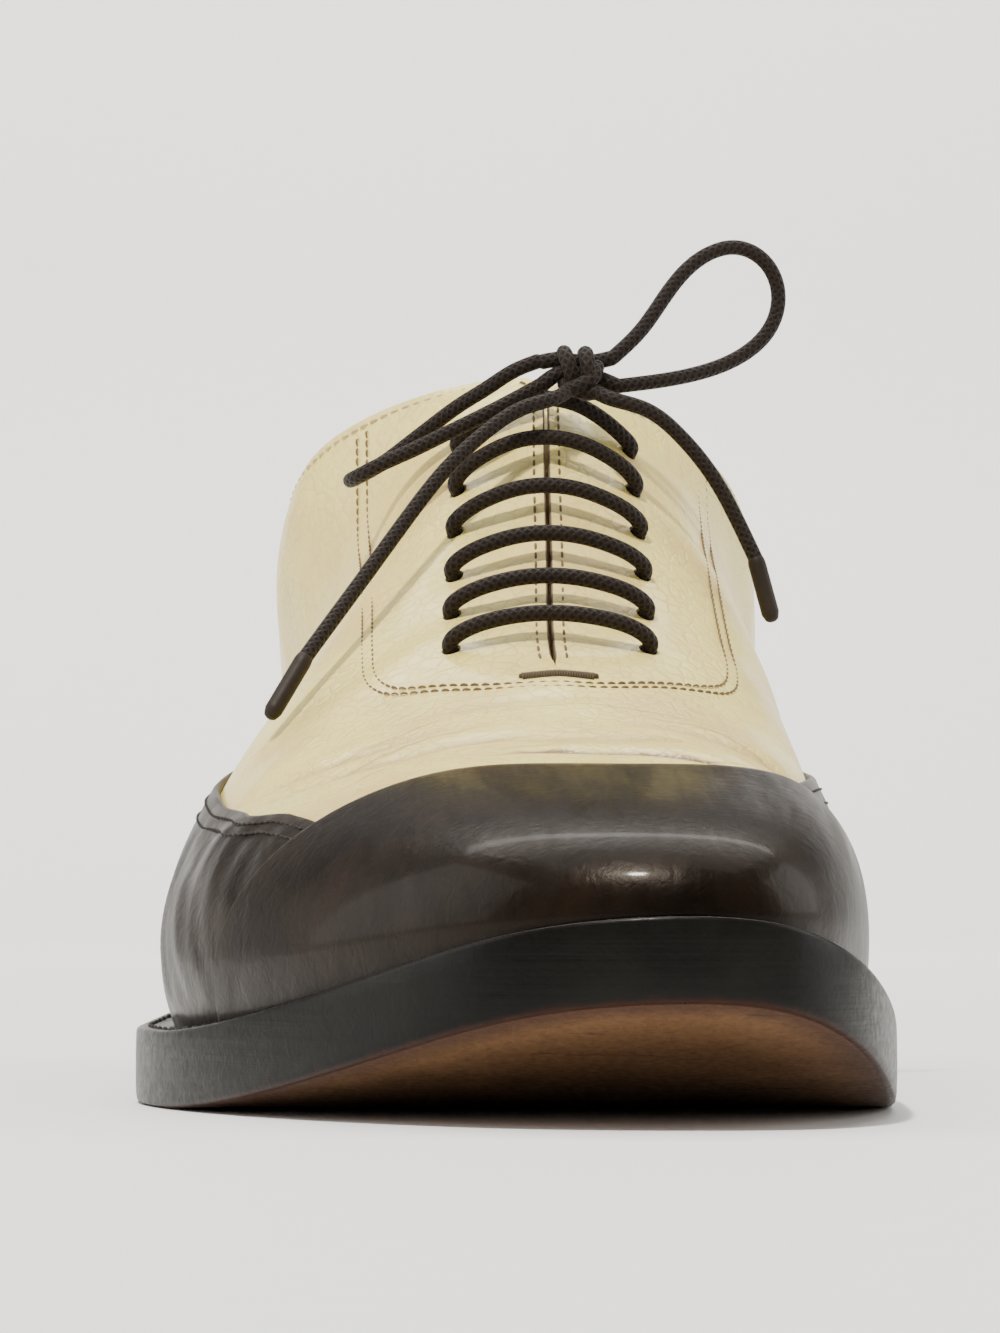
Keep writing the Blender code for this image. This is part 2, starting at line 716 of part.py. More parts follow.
def build_heel():
    """Make the heel stack and the top piece that meets the floor."""
    upper_edges = heel_outline(0.0)
    lower_edges = heel_outline(HEEL_TAPER)
    foot = TOP_PIECE_THICKNESS + CLEARANCE

    def ring(edges, height):
        loop = np.concatenate((edges[0], edges[1][-2::-1]))
        z = height(loop[:, 0])
        return to_world(np.column_stack((loop, z)))

    def block(name, top, bottom, color):
        count = len(top)
        half = len(upper_edges[0])
        cap = [[k, k + 1, count - 2 - k, count - 1 - k] for k in range(half - 2)]
        cap.append([half - 2, half - 1, half])
        under = [[n + count for n in reversed(face)] for face in cap]
        walls = [[k, (k + 1) % count, (k + 1) % count + count, k + count] for k in range(count)]
        faces = cap + under + walls
        return outward(add_mesh(name, np.concatenate((top, bottom)), faces, color, 0.45))

    def under_sole(u):
        return sole_bottom(u) - CLEARANCE

    def level(height):
        return lambda u: np.full(len(u), height)

    block("heel_stack", ring(upper_edges, under_sole), ring(lower_edges, level(foot)),
          (0.035, 0.030, 0.027))
    block("heel_top_piece", ring(lower_edges, level(TOP_PIECE_THICKNESS)),
          ring(lower_edges, level(0.0)), (0.018, 0.018, 0.018))


def eyelet(side, row):
    """Return an eyelet's p, v, centre and outward direction, in the model's axes."""
    u_row = EYELET_ROWS[row]
    p = bisect(lambda q: head("u", q) > u_row, FAN_END, THROAT_TOP)
    edge = skin_point(side, p, 1.0)
    v = bisect(lambda q: np.linalg.norm(skin_point(side, p, q) - edge) > EYELET_SETBACK, 0.3, 1.0)
    return p, v, to_world(skin_point(side, p, v)), outward_at(side, p, v)


def outward_at(side, p, v):
    """Return the outward direction at a point, in the model's axes."""
    u, w, z = skin_normal(side, p, v)
    return np.array((w, -u, z))


def build_upper(sheet):
    """Make the hollow upper and punch its eyelets."""
    columns, rows = sheet.index.shape
    faces = sheet.cells(range(columns - 1), range(rows - 1))
    vertices, solid = close_shell(sheet.places, offset_sheet(sheet, -WALL), faces)
    upper = outward(add_mesh("upper", vertices, solid, (0.72, 0.65, 0.45), 0.35))
    mesh = bmesh.new()
    for side in (LATERAL, MEDIAL):
        for row in range(len(EYELET_ROWS)):
            _, _, centre, normal = eyelet(side, row)
            add_tool(mesh, centre - normal * WALL / 2, normal)
    data = bpy.data.meshes.new("eyelet_punch")
    mesh.to_mesh(data)
    mesh.free()
    punch = bpy.data.objects.new("eyelet_punch", data)
    bpy.context.scene.collection.objects.link(punch)
    punch.hide_render = True
    punch.display_type = "WIRE"
    cut = upper.modifiers.new("eyelets", "BOOLEAN")
    cut.operation = "DIFFERENCE"
    cut.solver = "EXACT"
    cut.object = punch


def add_tool(mesh, centre, normal):
    """Add a round punch along a direction."""
    sides = 10
    reach = 2 * WALL
    side_axis = np.cross(normal, (0.0, 1.0, 0.0))
    side_axis /= np.linalg.norm(side_axis)
    other_axis = np.cross(normal, side_axis)
    loops = []
    for end in (-reach, reach):
        loop = []
        for k in range(sides):
            angle = 2 * math.pi * k / sides
            arm = side_axis * math.cos(angle) + other_axis * math.sin(angle)
            loop.append(mesh.verts.new(centre + normal * end + arm * EYELET_RADIUS))
        loops.append(loop)
    for k in range(sides):
        following = (k + 1) % sides
        mesh.faces.new((loops[0][k], loops[0][following], loops[1][following], loops[1][k]))
    mesh.faces.new(loops[0][::-1])
    mesh.faces.new(loops[1])


def build_toe_cap(sheet):
    """Make the toe cap over the front of the upper."""
    lateral_end = sheet.meet[LATERAL][1]
    medial_end = sheet.meet[MEDIAL][1]
    columns = [
        i for i in range(len(sheet.t) - 1)
        if sheet.t[i] >= -lateral_end - PLACE_STEP and sheet.t[i + 1] <= medial_end + PLACE_STEP
    ]
    faces = sheet.cells(columns, range(CELLS_V[0]))
    outer = offset_sheet(sheet, CLEARANCE + OVERLAY_WALL)
    inner = offset_sheet(sheet, CLEARANCE)
    vertices, solid = close_shell(outer, inner, faces)
    outward(add_mesh("toe_cap", vertices, solid, (0.045, 0.033, 0.028), 0.3))


def shortened(line, gap):
    """Return the line's points with a gap left at its start, in order along it."""
    reach = np.concatenate(([0], np.cumsum(np.linalg.norm(np.diff(line, axis=0), axis=1))))
    begin = min(gap, 0.6 * reach[-1]) * (1 + 0.15 * np.arange(len(line)))
    at = np.minimum(np.maximum(reach, begin), reach[-1])
    return np.column_stack([np.interp(at, reach, line[:, axis]) for axis in range(3)])


def build_foxing(sheet, side):
    """Make the foxing from the toe cap to the back of the heel on one side."""
    start, end = sheet.meet[side]
    columns = [
        i for i in range(len(sheet.t) - 1)
        if min(side * sheet.t[i], side * sheet.t[i + 1]) >= start - PLACE_STEP
    ]
    rows = range(CELLS_V[0], CELLS_V[0] + CELLS_V[1])
    faces = sheet.cells(columns, rows)
    places = sheet.places.copy()
    first = CELLS_V[0]
    last = first + CELLS_V[1]
    seam_gap = 2 * CLEARANCE
    for i, t in enumerate(sheet.t):
        if start + PLACE_STEP < side * t < end - PLACE_STEP:
            numbers = sheet.index[i, first:last + 1]
            places[numbers] = shortened(sheet.places[numbers], seam_gap)
        elif abs(side * t - start) <= PLACE_STEP:
            corner = sheet.index[i, first]
            ahead = sheet.places[sheet.index[i + side, last]] - sheet.places[corner]
            places[corner] += ahead * 2 * seam_gap / np.linalg.norm(ahead)
        elif abs(side * t - end) <= PLACE_STEP:
            corner = sheet.index[i, 0]
            behind = sheet.places[sheet.index[i + side, 0]] - sheet.places[corner]
            places[corner] += behind * seam_gap / np.linalg.norm(behind)
            places[corner] += sheet.normals[corner] * CLEARANCE
    back = 0 if side == LATERAL else len(sheet.t) - 1
    beside = 1 if side == LATERAL else len(sheet.t) - 2
    for j in range(last + 1):
        low = sheet.places[sheet.index[back, j]]
        high = sheet.places[sheet.index[beside, j]]
        places[sheet.index[back, j]] = low + (high - low) * CLEARANCE / np.linalg.norm(high - low)
    outer = offset_sheet(sheet, CLEARANCE + OVERLAY_WALL, places)
    inner = offset_sheet(sheet, CLEARANCE, places)
    vertices, solid = close_shell(outer, inner, faces)
    outward(add_mesh("foxing_" + side_name(side), vertices, solid, (0.050, 0.038, 0.032), 0.4))


def tongue_row(p, half_width, lift):
    """Return points across the throat below the skin, from lateral to medial."""
    line = []
    steps = (1.0, 0.66, 0.33)
    for side, shares in ((LATERAL, steps), (MEDIAL, steps[::-1])):
        edge = skin_point(side, p, 1.0)
        half = []
        for share in shares:
            reach = share * half_width
            v = bisect(lambda q: np.linalg.norm(skin_point(side, p, q) - edge) > reach, 0.2, 1.0)
            half.append(to_world(skin_point(side, p, v)) - outward_at(side, p, v) * lift)
        if side == LATERAL:
            line += half
            middle = to_world(skin_point(LATERAL, p, 1.0) + skin_point(MEDIAL, p, 1.0)) / 2
            middle[1] = to_world(edge)[1]
            normal = outward_at(LATERAL, p, 1.0) + outward_at(MEDIAL, p, 1.0)
            line.append(middle - normal / np.linalg.norm(normal) * lift)
        else:
            line += half
    return np.array(line)


def build_tongue():
    """Make the tongue, stitched below the throat and free above it."""
    lace_room = LACE_DIAMETER + 4 * CLEARANCE
    full_lift = WALL + lace_room
    seated_lift = WALL + 2 * CLEARANCE
    places = np.linspace(THROAT_BOTTOM - 0.05, THROAT_TOP - 0.005, 12)
    layers = []
    for depth in (0.0, TONGUE_WALL):
        rows = []
        for k, p in enumerate(places):
            ease = smooth_step(0.0, 3.0, float(k))
            lift = seated_lift + (full_lift - seated_lift) * ease + depth
            width = TONGUE_HALF_WIDTH * (0.7 + 0.3 * k / (len(places) - 1))
            rows.append(tongue_row(p, width, lift))
        onward = rows[-1] - rows[-2]
        onward /= np.linalg.norm(onward, axis=1, keepdims=True)
        rows.append(rows[-1] + onward * TONGUE_ABOVE_THROAT)
        layers.append(np.array(rows))
    rows, across = layers[0].shape[:2]
    flat = [layer.reshape(-1, 3) for layer in layers]
    faces = []
    for i in range(rows - 1):
        for j in range(across - 1):
            a = i * across + j
            faces.append([a, a + 1, a + across + 1, a + across])
    vertices, solid = close_shell(flat[0], flat[1], faces)
    outward(add_mesh("tongue", vertices, solid, (0.60, 0.52, 0.36), 0.6))


def add_cord(name, points, diameter, color, roughness):
    """Make a round cord along a smooth curve through the points."""
    points = np.array(points, float)
    reach = np.concatenate(([0], np.cumsum(np.linalg.norm(np.diff(points, axis=0), axis=1))))
    count = max(3, int(round(reach[-1] / (2.0 * diameter))) + 1)
    smooth = natural_spline(reach, points)(np.linspace(0, reach[-1], count))
    curve = bpy.data.curves.new(name, "CURVE")
    curve.dimensions = "3D"
    curve.bevel_depth = diameter / 2
    curve.bevel_resolution = 2
    curve.use_fill_caps = True
    spline = curve.splines.new("POLY")
    spline.points.add(count - 1)
    for point, place in zip(spline.points, smooth):
        point.co = (*place, 1.0)
    curve.materials.append(material(name, color, roughness))
    made = bpy.data.objects.new(name, curve)
    bpy.context.scene.collection.objects.link(made)


def build_lace_bars():
    """Make the straight bars, each down through its pair of eyelets."""
    for row in range(len(EYELET_ROWS)):
        rise = KNOTTED_BAR_RISE if row == len(EYELET_ROWS) - 1 else BAR_RISE
        legs = []
        arch = []
        for side in (LATERAL, MEDIAL):
            p, v, centre, normal = eyelet(side, row)
            inside = centre - normal * (WALL + LACE_DIAMETER / 2 - CLEARANCE)
            rim = centre + normal * (LACE_DIAMETER / 2)
            over = []
            for share, height in ((0.20, 0.68), (0.48, 0.90), (0.76, 0.98)):
                place = v + (1 - v) * share
                point = to_world(skin_point(side, p, place))
                over.append(point + outward_at(side, p, place) * rise * height)
            legs.append([inside, rim])
            arch.append(over)
        path = legs[0] + arch[0] + arch[1][::-1] + legs[1][::-1]
        add_cord("lace_bar_%d" % (row + 1), path, LACE_DIAMETER, (0.028, 0.018, 0.014), 0.75)


def route(points):
    """Turn a free lace's route, given as w, u and z, into the model's axes."""
    return [to_world((u, w, z)) for w, u, z in points]


def build_free_lace():
    """Make the knot, its two loops, its two ends and their aglets."""
    mesh = bmesh.new()
    bmesh.ops.create_icosphere(mesh, subdivisions=3, radius=0.5)
    for vertex in mesh.verts:
        for axis in range(3):
            vertex.co[axis] *= KNOT_SIZE[axis]
    data = bpy.data.meshes.new("lace_knot")
    mesh.to_mesh(data)
    mesh.free()
    data.shade_smooth()
    data.materials.append(material("lace_knot", (0.028, 0.018, 0.014), 0.75))
    knot = bpy.data.objects.new("lace_knot", data)
    knot.location = route([KNOT_CENTRE])[0]
    bpy.context.scene.collection.objects.link(knot)
    dark = (0.028, 0.018, 0.014)
    for name, points in (("lace_loop_right", LOOP_RIGHT), ("lace_loop_left", LOOP_LEFT),
                         ("lace_end_left", END_LEFT), ("lace_end_right", END_RIGHT)):
        add_cord(name, route(points), LACE_DIAMETER, dark, 0.75)
    for name, lace, tip in (("aglet_left", END_LEFT, AGLET_LEFT_TIP),
                            ("aglet_right", END_RIGHT, AGLET_RIGHT_TIP)):
        start, end = route((lace[-1], tip))
        along = (end - start) / np.linalg.norm(end - start)
        line = [start + along * 2 * CLEARANCE, end]
        add_cord(name, line, AGLET_DIAMETER, (0.02, 0.015, 0.012), 0.35)


def main():
    """Build the shoe in an empty scene."""
    for existing in list(bpy.data.objects):
        bpy.data.objects.remove(existing, do_unlink=True)
    sheet = Sheet()
    build_outsole(sheet)
    build_heel()
    build_insole(sheet)
    build_upper(sheet)
    build_toe_cap(sheet)
    build_foxing(sheet, LATERAL)
    build_foxing(sheet, MEDIAL)
    build_tongue()
    build_lace_bars()
    build_free_lace()


main()
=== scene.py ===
"""Studio scene of a right-foot spectator oxford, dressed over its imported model.

Lengths are in metres. +X is the medial side, -Y the toe and +Z up. The leather is worked
out from the last's own surface: p runs round the feather line from the toe tip to the back
of the heel, and v up each column from the feather line to the ridge or the topline.
"""
import functools
import logging
import math
from dataclasses import dataclass, field
from enum import Enum
from typing import Callable, Iterable, Sequence

import bmesh
import bpy
import numpy as np
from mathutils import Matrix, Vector


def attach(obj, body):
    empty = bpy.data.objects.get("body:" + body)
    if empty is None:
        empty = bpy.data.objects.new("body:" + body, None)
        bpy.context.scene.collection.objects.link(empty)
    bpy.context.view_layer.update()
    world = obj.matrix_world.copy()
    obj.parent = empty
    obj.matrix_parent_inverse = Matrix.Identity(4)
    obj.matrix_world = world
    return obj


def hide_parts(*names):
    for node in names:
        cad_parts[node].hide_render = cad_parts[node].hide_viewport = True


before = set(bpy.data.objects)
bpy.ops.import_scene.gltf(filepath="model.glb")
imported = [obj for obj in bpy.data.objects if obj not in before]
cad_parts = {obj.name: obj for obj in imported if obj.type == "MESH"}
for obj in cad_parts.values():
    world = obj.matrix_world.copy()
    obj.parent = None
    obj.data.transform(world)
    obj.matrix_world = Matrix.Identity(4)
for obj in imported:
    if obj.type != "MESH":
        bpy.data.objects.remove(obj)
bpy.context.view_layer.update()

Array = np.ndarray
Socket = bpy.types.NodeSocket
Material = bpy.types.Material
Piece = bpy.types.Object
Triple = tuple[float, float, float]
Points = Sequence[Sequence[float]]
Faces = list[tuple[int, ...]]
Curve = Callable[[Array], Array]
log = logging.getLogger("spectator_shoe")

LATERAL = -1
MEDIAL = 1
MILLIMETRE = 0.001
MERGE_DISTANCE = 1e-5
HALVINGS = 24
ROOT = "root"


def table(columns: str, rows: Points) -> dict[str, Array]:
    """Return the rows as one array for each named column."""
    return dict(zip(columns.split(), np.array(rows, float).T))


# Feather line: u as a share of the last's length, w as a share of its ball width
FEATHER = table("p lateral_u lateral_w medial_u medial_w", [
    (0.000, 1.0000, 0.103, 1.0000, 0.103),
    (0.035, 0.9930, -0.023, 0.9930, 0.206),
    (0.075, 0.9725, -0.137, 0.9670, 0.280),
    (0.125, 0.9330, -0.252, 0.9240, 0.332),
    (0.190, 0.8710, -0.383, 0.8570, 0.373),
    (0.260, 0.7900, -0.509, 0.7770, 0.399),
    (0.340, 0.6960, -0.589, 0.6840, 0.410),
    (0.420, 0.6030, -0.578, 0.5910, 0.375),
    (0.505, 0.5100, -0.509, 0.4980, 0.316),
    (0.595, 0.4120, -0.429, 0.3990, 0.286),
    (0.685, 0.3090, -0.383, 0.2990, 0.300),
    (0.775, 0.2060, -0.372, 0.1990, 0.332),
    (0.850, 0.1200, -0.355, 0.1170, 0.334),
    (0.912, 0.0515, -0.286, 0.0500, 0.280),
    (0.957, 0.0137, -0.160, 0.0137, 0.160),
    (1.000, 0.0000, 0.000, 0.0000, 0.000),
])

# Arch: u as a share of the length, rise as a share of the heel seat over the ball
ARCH = table("u rise", [
    (-0.05, 1.010),
    (0.000, 1.000),
    (0.103, 0.934),
    (0.223, 0.838),
    (0.344, 0.570),
    (0.447, 0.272),
    (0.550, 0.066),
    (0.653, 0.000),
    (1.100, 0.000),
])

# Sole edge beyond the feather line, as a share of the sole's extension
EDGE = table("p share", [
    (0.00, 0.85),
    (0.30, 1.00),
    (0.50, 0.92),
    (0.60, 0.54),
    (0.75, 0.31),
    (1.00, 0.31),
])

# Instep ridge: shares of length, ball width and instep height
RIDGE = table("u w height", [
    (0.344, 0.0000, 1.180),
    (0.4055, 0.0000, 1.093),
    (0.450, 0.0000, 1.000),
    (0.5086, -0.006, 0.8585),
    (0.567, -0.0114, 0.717),
    (0.6426, -0.0114, 0.575),
    (0.7216, 0.0400, 0.488),
    (0.773, 0.0595, 0.442),
    (0.825, 0.0755, 0.402),
])

# Heads of the columns: directions in degrees, u as a share of the length, crown half
# widths as shares of the ball width, crown height from the instep and collar heights
HEADS = table("p splay lateral_droop medial_droop u lateral_crown medial_crown instep collar", [
    (0.000, 0.0, 0.0, 0.0, 0.7216, 0.000, 0.000, 0.498, 0.000),
    (0.075, 30.0, 0.0, 0.0, 0.7216, 0.000, 0.000, 0.541, 0.000),
    (0.160, 58.0, 0.0, 0.0, 0.7216, 0.000, 0.000, 0.589, 0.000),
    (0.250, 80.0, 0.0, 0.0, 0.7216, 0.000, 0.000, 0.640, 0.000),
    (0.340, 90.0, 0.0, 0.0, 0.7216, 0.000, 0.000, 0.692, 0.000),
    (0.420, 90.0, 3.0, 3.0, 0.6530, 0.000, 0.000, 0.737, 0.000),
    (0.505, 90.0, 9.0, 10.0, 0.5770, 0.000, 0.000, 0.786, 0.000),
    (0.595, 90.0, 15.0, 18.0, 0.5086, 0.000, 0.000, 0.836, 0.000),
    (0.685, 92.0, 20.0, 27.0, 0.4470, 0.000, 0.000, 1.000, 0.000),
    (0.775, 95.0, 31.0, 40.0, 0.3640, 0.160, 0.114, 0.834, 0.313),
    (0.850, 105.0, 55.0, 60.0, 0.2680, 0.206, 0.195, 0.580, 0.654),
    (0.912, 125.0, 74.0, 74.0, 0.1500, 0.240, 0.240, 0.250, 1.026),
    (0.957, 150.0, 80.0, 80.0, 0.0500, 0.180, 0.180, 0.100, 1.173),
    (1.000, 180.0, 82.0, 82.0, 0.0137, 0.000, 0.000, 0.000, 1.264),
    (1.043, 210.0, 80.0, 80.0, 0.0500, -0.180, -0.180, 0.100, 1.173),
])

# Bulge of the columns: flare in degrees, rise as a share of height, reach of width
BULGE = table("p lateral_flare lateral_rise lateral_reach medial_flare medial_rise medial_reach", [
    (0.000, 14, 0.66, 0.50, 14, 0.66, 0.50),
    (0.100, 16, 0.66, 0.50, 14, 0.66, 0.50),
    (0.200, 20, 0.66, 0.52, 12, 0.70, 0.54),
    (0.340, 20, 0.72, 0.58, 12, 0.80, 0.66),
    (0.420, 19, 0.75, 0.60, 16, 0.88, 0.76),
    (0.505, 15, 0.76, 0.60, 20, 0.88, 0.76),
    (0.595, 11, 0.62, 0.56, 20, 0.77, 0.64),
    (0.685, 8, 0.46, 0.54, 17, 0.56, 0.53),
    (0.775, 9, 0.36, 0.50, 15, 0.43, 0.46),
    (0.850, 14, 0.34, 0.42, 16, 0.36, 0.42),
    (0.912, 18, 0.34, 0.38, 18, 0.34, 0.38),
    (1.000, 20, 0.34, 0.38, 20, 0.34, 0.38),
])

# Topline: rise as a share of instep over collar height, dip as a share of the collar dip
TOPLINE = table("p lateral_rise medial_rise lateral_dip medial_dip", [
    (0.680, 1.00, 1.00, 0.00, 0.00),
    (0.700, 1.15, 1.05, 0.00, 0.00),
    (0.720, 1.12, 0.92, 0.00, 0.00),
    (0.745, 0.84, 0.52, 0.00, 0.00),
    (0.770, 0.40, 0.14, 0.04, 0.08),
    (0.800, 0.06, 0.00, 0.28, 0.32),
    (0.840, 0.00, 0.00, 0.68, 0.68),
    (0.880, 0.00, 0.00, 0.95, 0.90),
    (0.920, 0.00, 0.00, 0.86, 0.80),
    (0.960, 0.00, 0.00, 0.38, 0.38),
    (1.000, 0.00, 0.00, 0.00, 0.00),
])

# Top line of the foxing: u as a share of the length, height of the collar height
FOXING = table("u height", [
    (-0.05, 0.747),
    (0.000, 0.747),
    (0.103, 0.725),
    (0.206, 0.659),
    (0.309, 0.582),
    (0.447, 0.516),
    (0.584, 0.483),
    (0.704, 0.4615),
    (0.808, 0.385),
    (1.050, 0.220),
])

# How far the lateral foxing's top line stands off its table's height, at shares of the length
LATERAL_FOXING = table("u shift", [
    (-0.05, 0.0000),
    (0.480, 0.0000),
    (0.560, -0.0016),
    (0.620, -0.0028),
    (0.673, -0.0041),
    (0.715, -0.0040),
    (0.769, -0.0006),
    (0.811, 0.0012),
    (0.842, 0.0016),
    (0.900, 0.0010),
    (1.050, 0.0010),
])

# Creases of the vamp, in millimetres: middle, slope and bow across, reach, depth, width
CREASES = table("u w slope bow reach depth width", [
    (223.3, 10.0, 0.38, 0.0158, 17.0, 0.55, 1.6),
    (214.0, 2.0, 0.05, -0.008, 22.0, 0.32, 2.6),
    (206.0, 20.0, -0.10, -0.010, 13.0, 0.42, 2.0),
    (203.0, -27.0, 0.12, -0.010, 12.0, 0.50, 1.8),
    (212.0, -22.0, 0.10, -0.014, 13.0, 0.42, 2.2),
    (197.0, -8.0, 0.04, -0.010, 12.0, 0.28, 1.8),
    (231.0, -12.0, 0.05, -0.010, 14.0, 0.30, 2.4),
])


def natural_spline(x: Array, y: Array) -> Curve:
    """Return a function through the points whose ends are free of bending.

    Args:
        x: Rising places of the points.
        y: Values there, one row each.

    Returns:
        The function.
    """
    x = np.asarray(x, float)
    y = np.asarray(y, float)
    count = len(x)
    step = np.diff(x)
    matrix = np.eye(count)
    right = np.zeros(y.shape)
    for i in range(1, count - 1):
        matrix[i, i - 1:i + 2] = (step[i - 1], 2 * (step[i - 1] + step[i]), step[i])
        right[i] = 6 * ((y[i + 1] - y[i]) / step[i] - (y[i] - y[i - 1]) / step[i - 1])
    bend = np.linalg.solve(matrix, right)

    def curve(t: Array) -> Array:
        """Return the curve's values at t.

        Args:
            t: Places.

        Returns:
            One value or row for each place.
        """
        t = np.asarray(t, float)
        i = np.clip(np.searchsorted(x, t) - 1, 0, count - 2)
        h = step[i]
        a = (x[i + 1] - t) / h
        b = (t - x[i]) / h
        if y.ndim > 1:
            a, b, h = a[..., None], b[..., None], h[..., None]
        lift = (a ** 3 - a) * bend[i] + (b ** 3 - b) * bend[i + 1]
        return a * y[i] + b * y[i + 1] + lift * h * h / 6

    return curve


def even_curve(x: Array, y: Array, t: Array) -> Array:
    """Return y at t on a smooth curve that never overshoots the table's points.

    Args:
        x: Rising places of the table's points.
        y: Values there.
        t: Places to find values at.

    Returns:
        One value for each place.
    """
    h = np.diff(x)
    slope = np.diff(y) / h
    lean = np.zeros(len(x))
    lean[0], lean[-1] = slope[0], slope[-1]
    for i in range(1, len(x) - 1):
        if slope[i - 1] * slope[i] > 0:
            first = 2 * h[i] + h[i - 1]
            second = h[i] + 2 * h[i - 1]
            lean[i] = (first + second) / (first / slope[i - 1] + second / slope[i])
    i = np.clip(np.searchsorted(x, t) - 1, 0, len(x) - 2)
    s = (t - x[i]) / h[i]
    return ((2 * s ** 3 - 3 * s ** 2 + 1) * y[i] + (s ** 3 - 2 * s ** 2 + s) * h[i] * lean[i]
            + (3 * s ** 2 - 2 * s ** 3) * y[i + 1] + (s ** 3 - s ** 2) * h[i] * lean[i + 1])


def smooth_step(low: float, high: float, x: Array) -> Array:
    """Return 0 below low, 1 above high and a soft ramp between."""
    s = np.clip((x - low) / (high - low), 0, 1)
    return s * s * (3 - 2 * s)


def bisect(test: Curve, low: Array, high: Array) -> Array:
    """Return, for each item, where test changes from true at low to false at high.

    Args:
        test: Answers true or false for each item.
        low: Where it is true.
        high: Where it is false.

    Returns:
        One place for each item.
    """
    low, high = np.broadcast_arrays(np.asarray(low, float), np.asarray(high, float))
    low, high = low.copy(), high.copy()
    for _ in range(HALVINGS):
        middle = (low + high) / 2
        inside = test(middle)
        low = np.where(inside, middle, low)
        high = np.where(inside, high, middle)
    return low


def unit(vectors: Array) -> Array:
    """Return the vectors at length one."""
    return vectors / np.maximum(np.linalg.norm(vectors, axis=-1, keepdims=True), 1e-12)


def arc_lengths(path: Array) -> Array:
    """Return the distance along a path at each of its points."""
    return np.concatenate(([0.0], np.cumsum(np.linalg.norm(np.diff(path, axis=0), axis=1))))


def resample(path: Array, spacing: float) -> Array:
    """Return a path's points at even distances.

    Args:
        path: Points in order.
        spacing: Distance between the new points.

    Returns:
        The new points.
    """
    reach = arc_lengths(path)
    count = max(3, int(round(reach[-1] / spacing)) + 1)
    at = np.linspace(0, reach[-1], count)
    return np.column_stack([np.interp(at, reach, path[:, k]) for k in range(path.shape[1])])


def smooth_route(points: Points, spacing: float) -> Array:
    """Return a smooth path through a few points, at even distances.

    Args:
        points: Points in order.
        spacing: Distance between the new points.

    Returns:
        The new points.
    """
    points = np.array(points, float)
    reach = arc_lengths(points)
    fine = natural_spline(reach, points)(np.linspace(0, reach[-1], 60 * len(points)))
    return resample(fine, spacing)


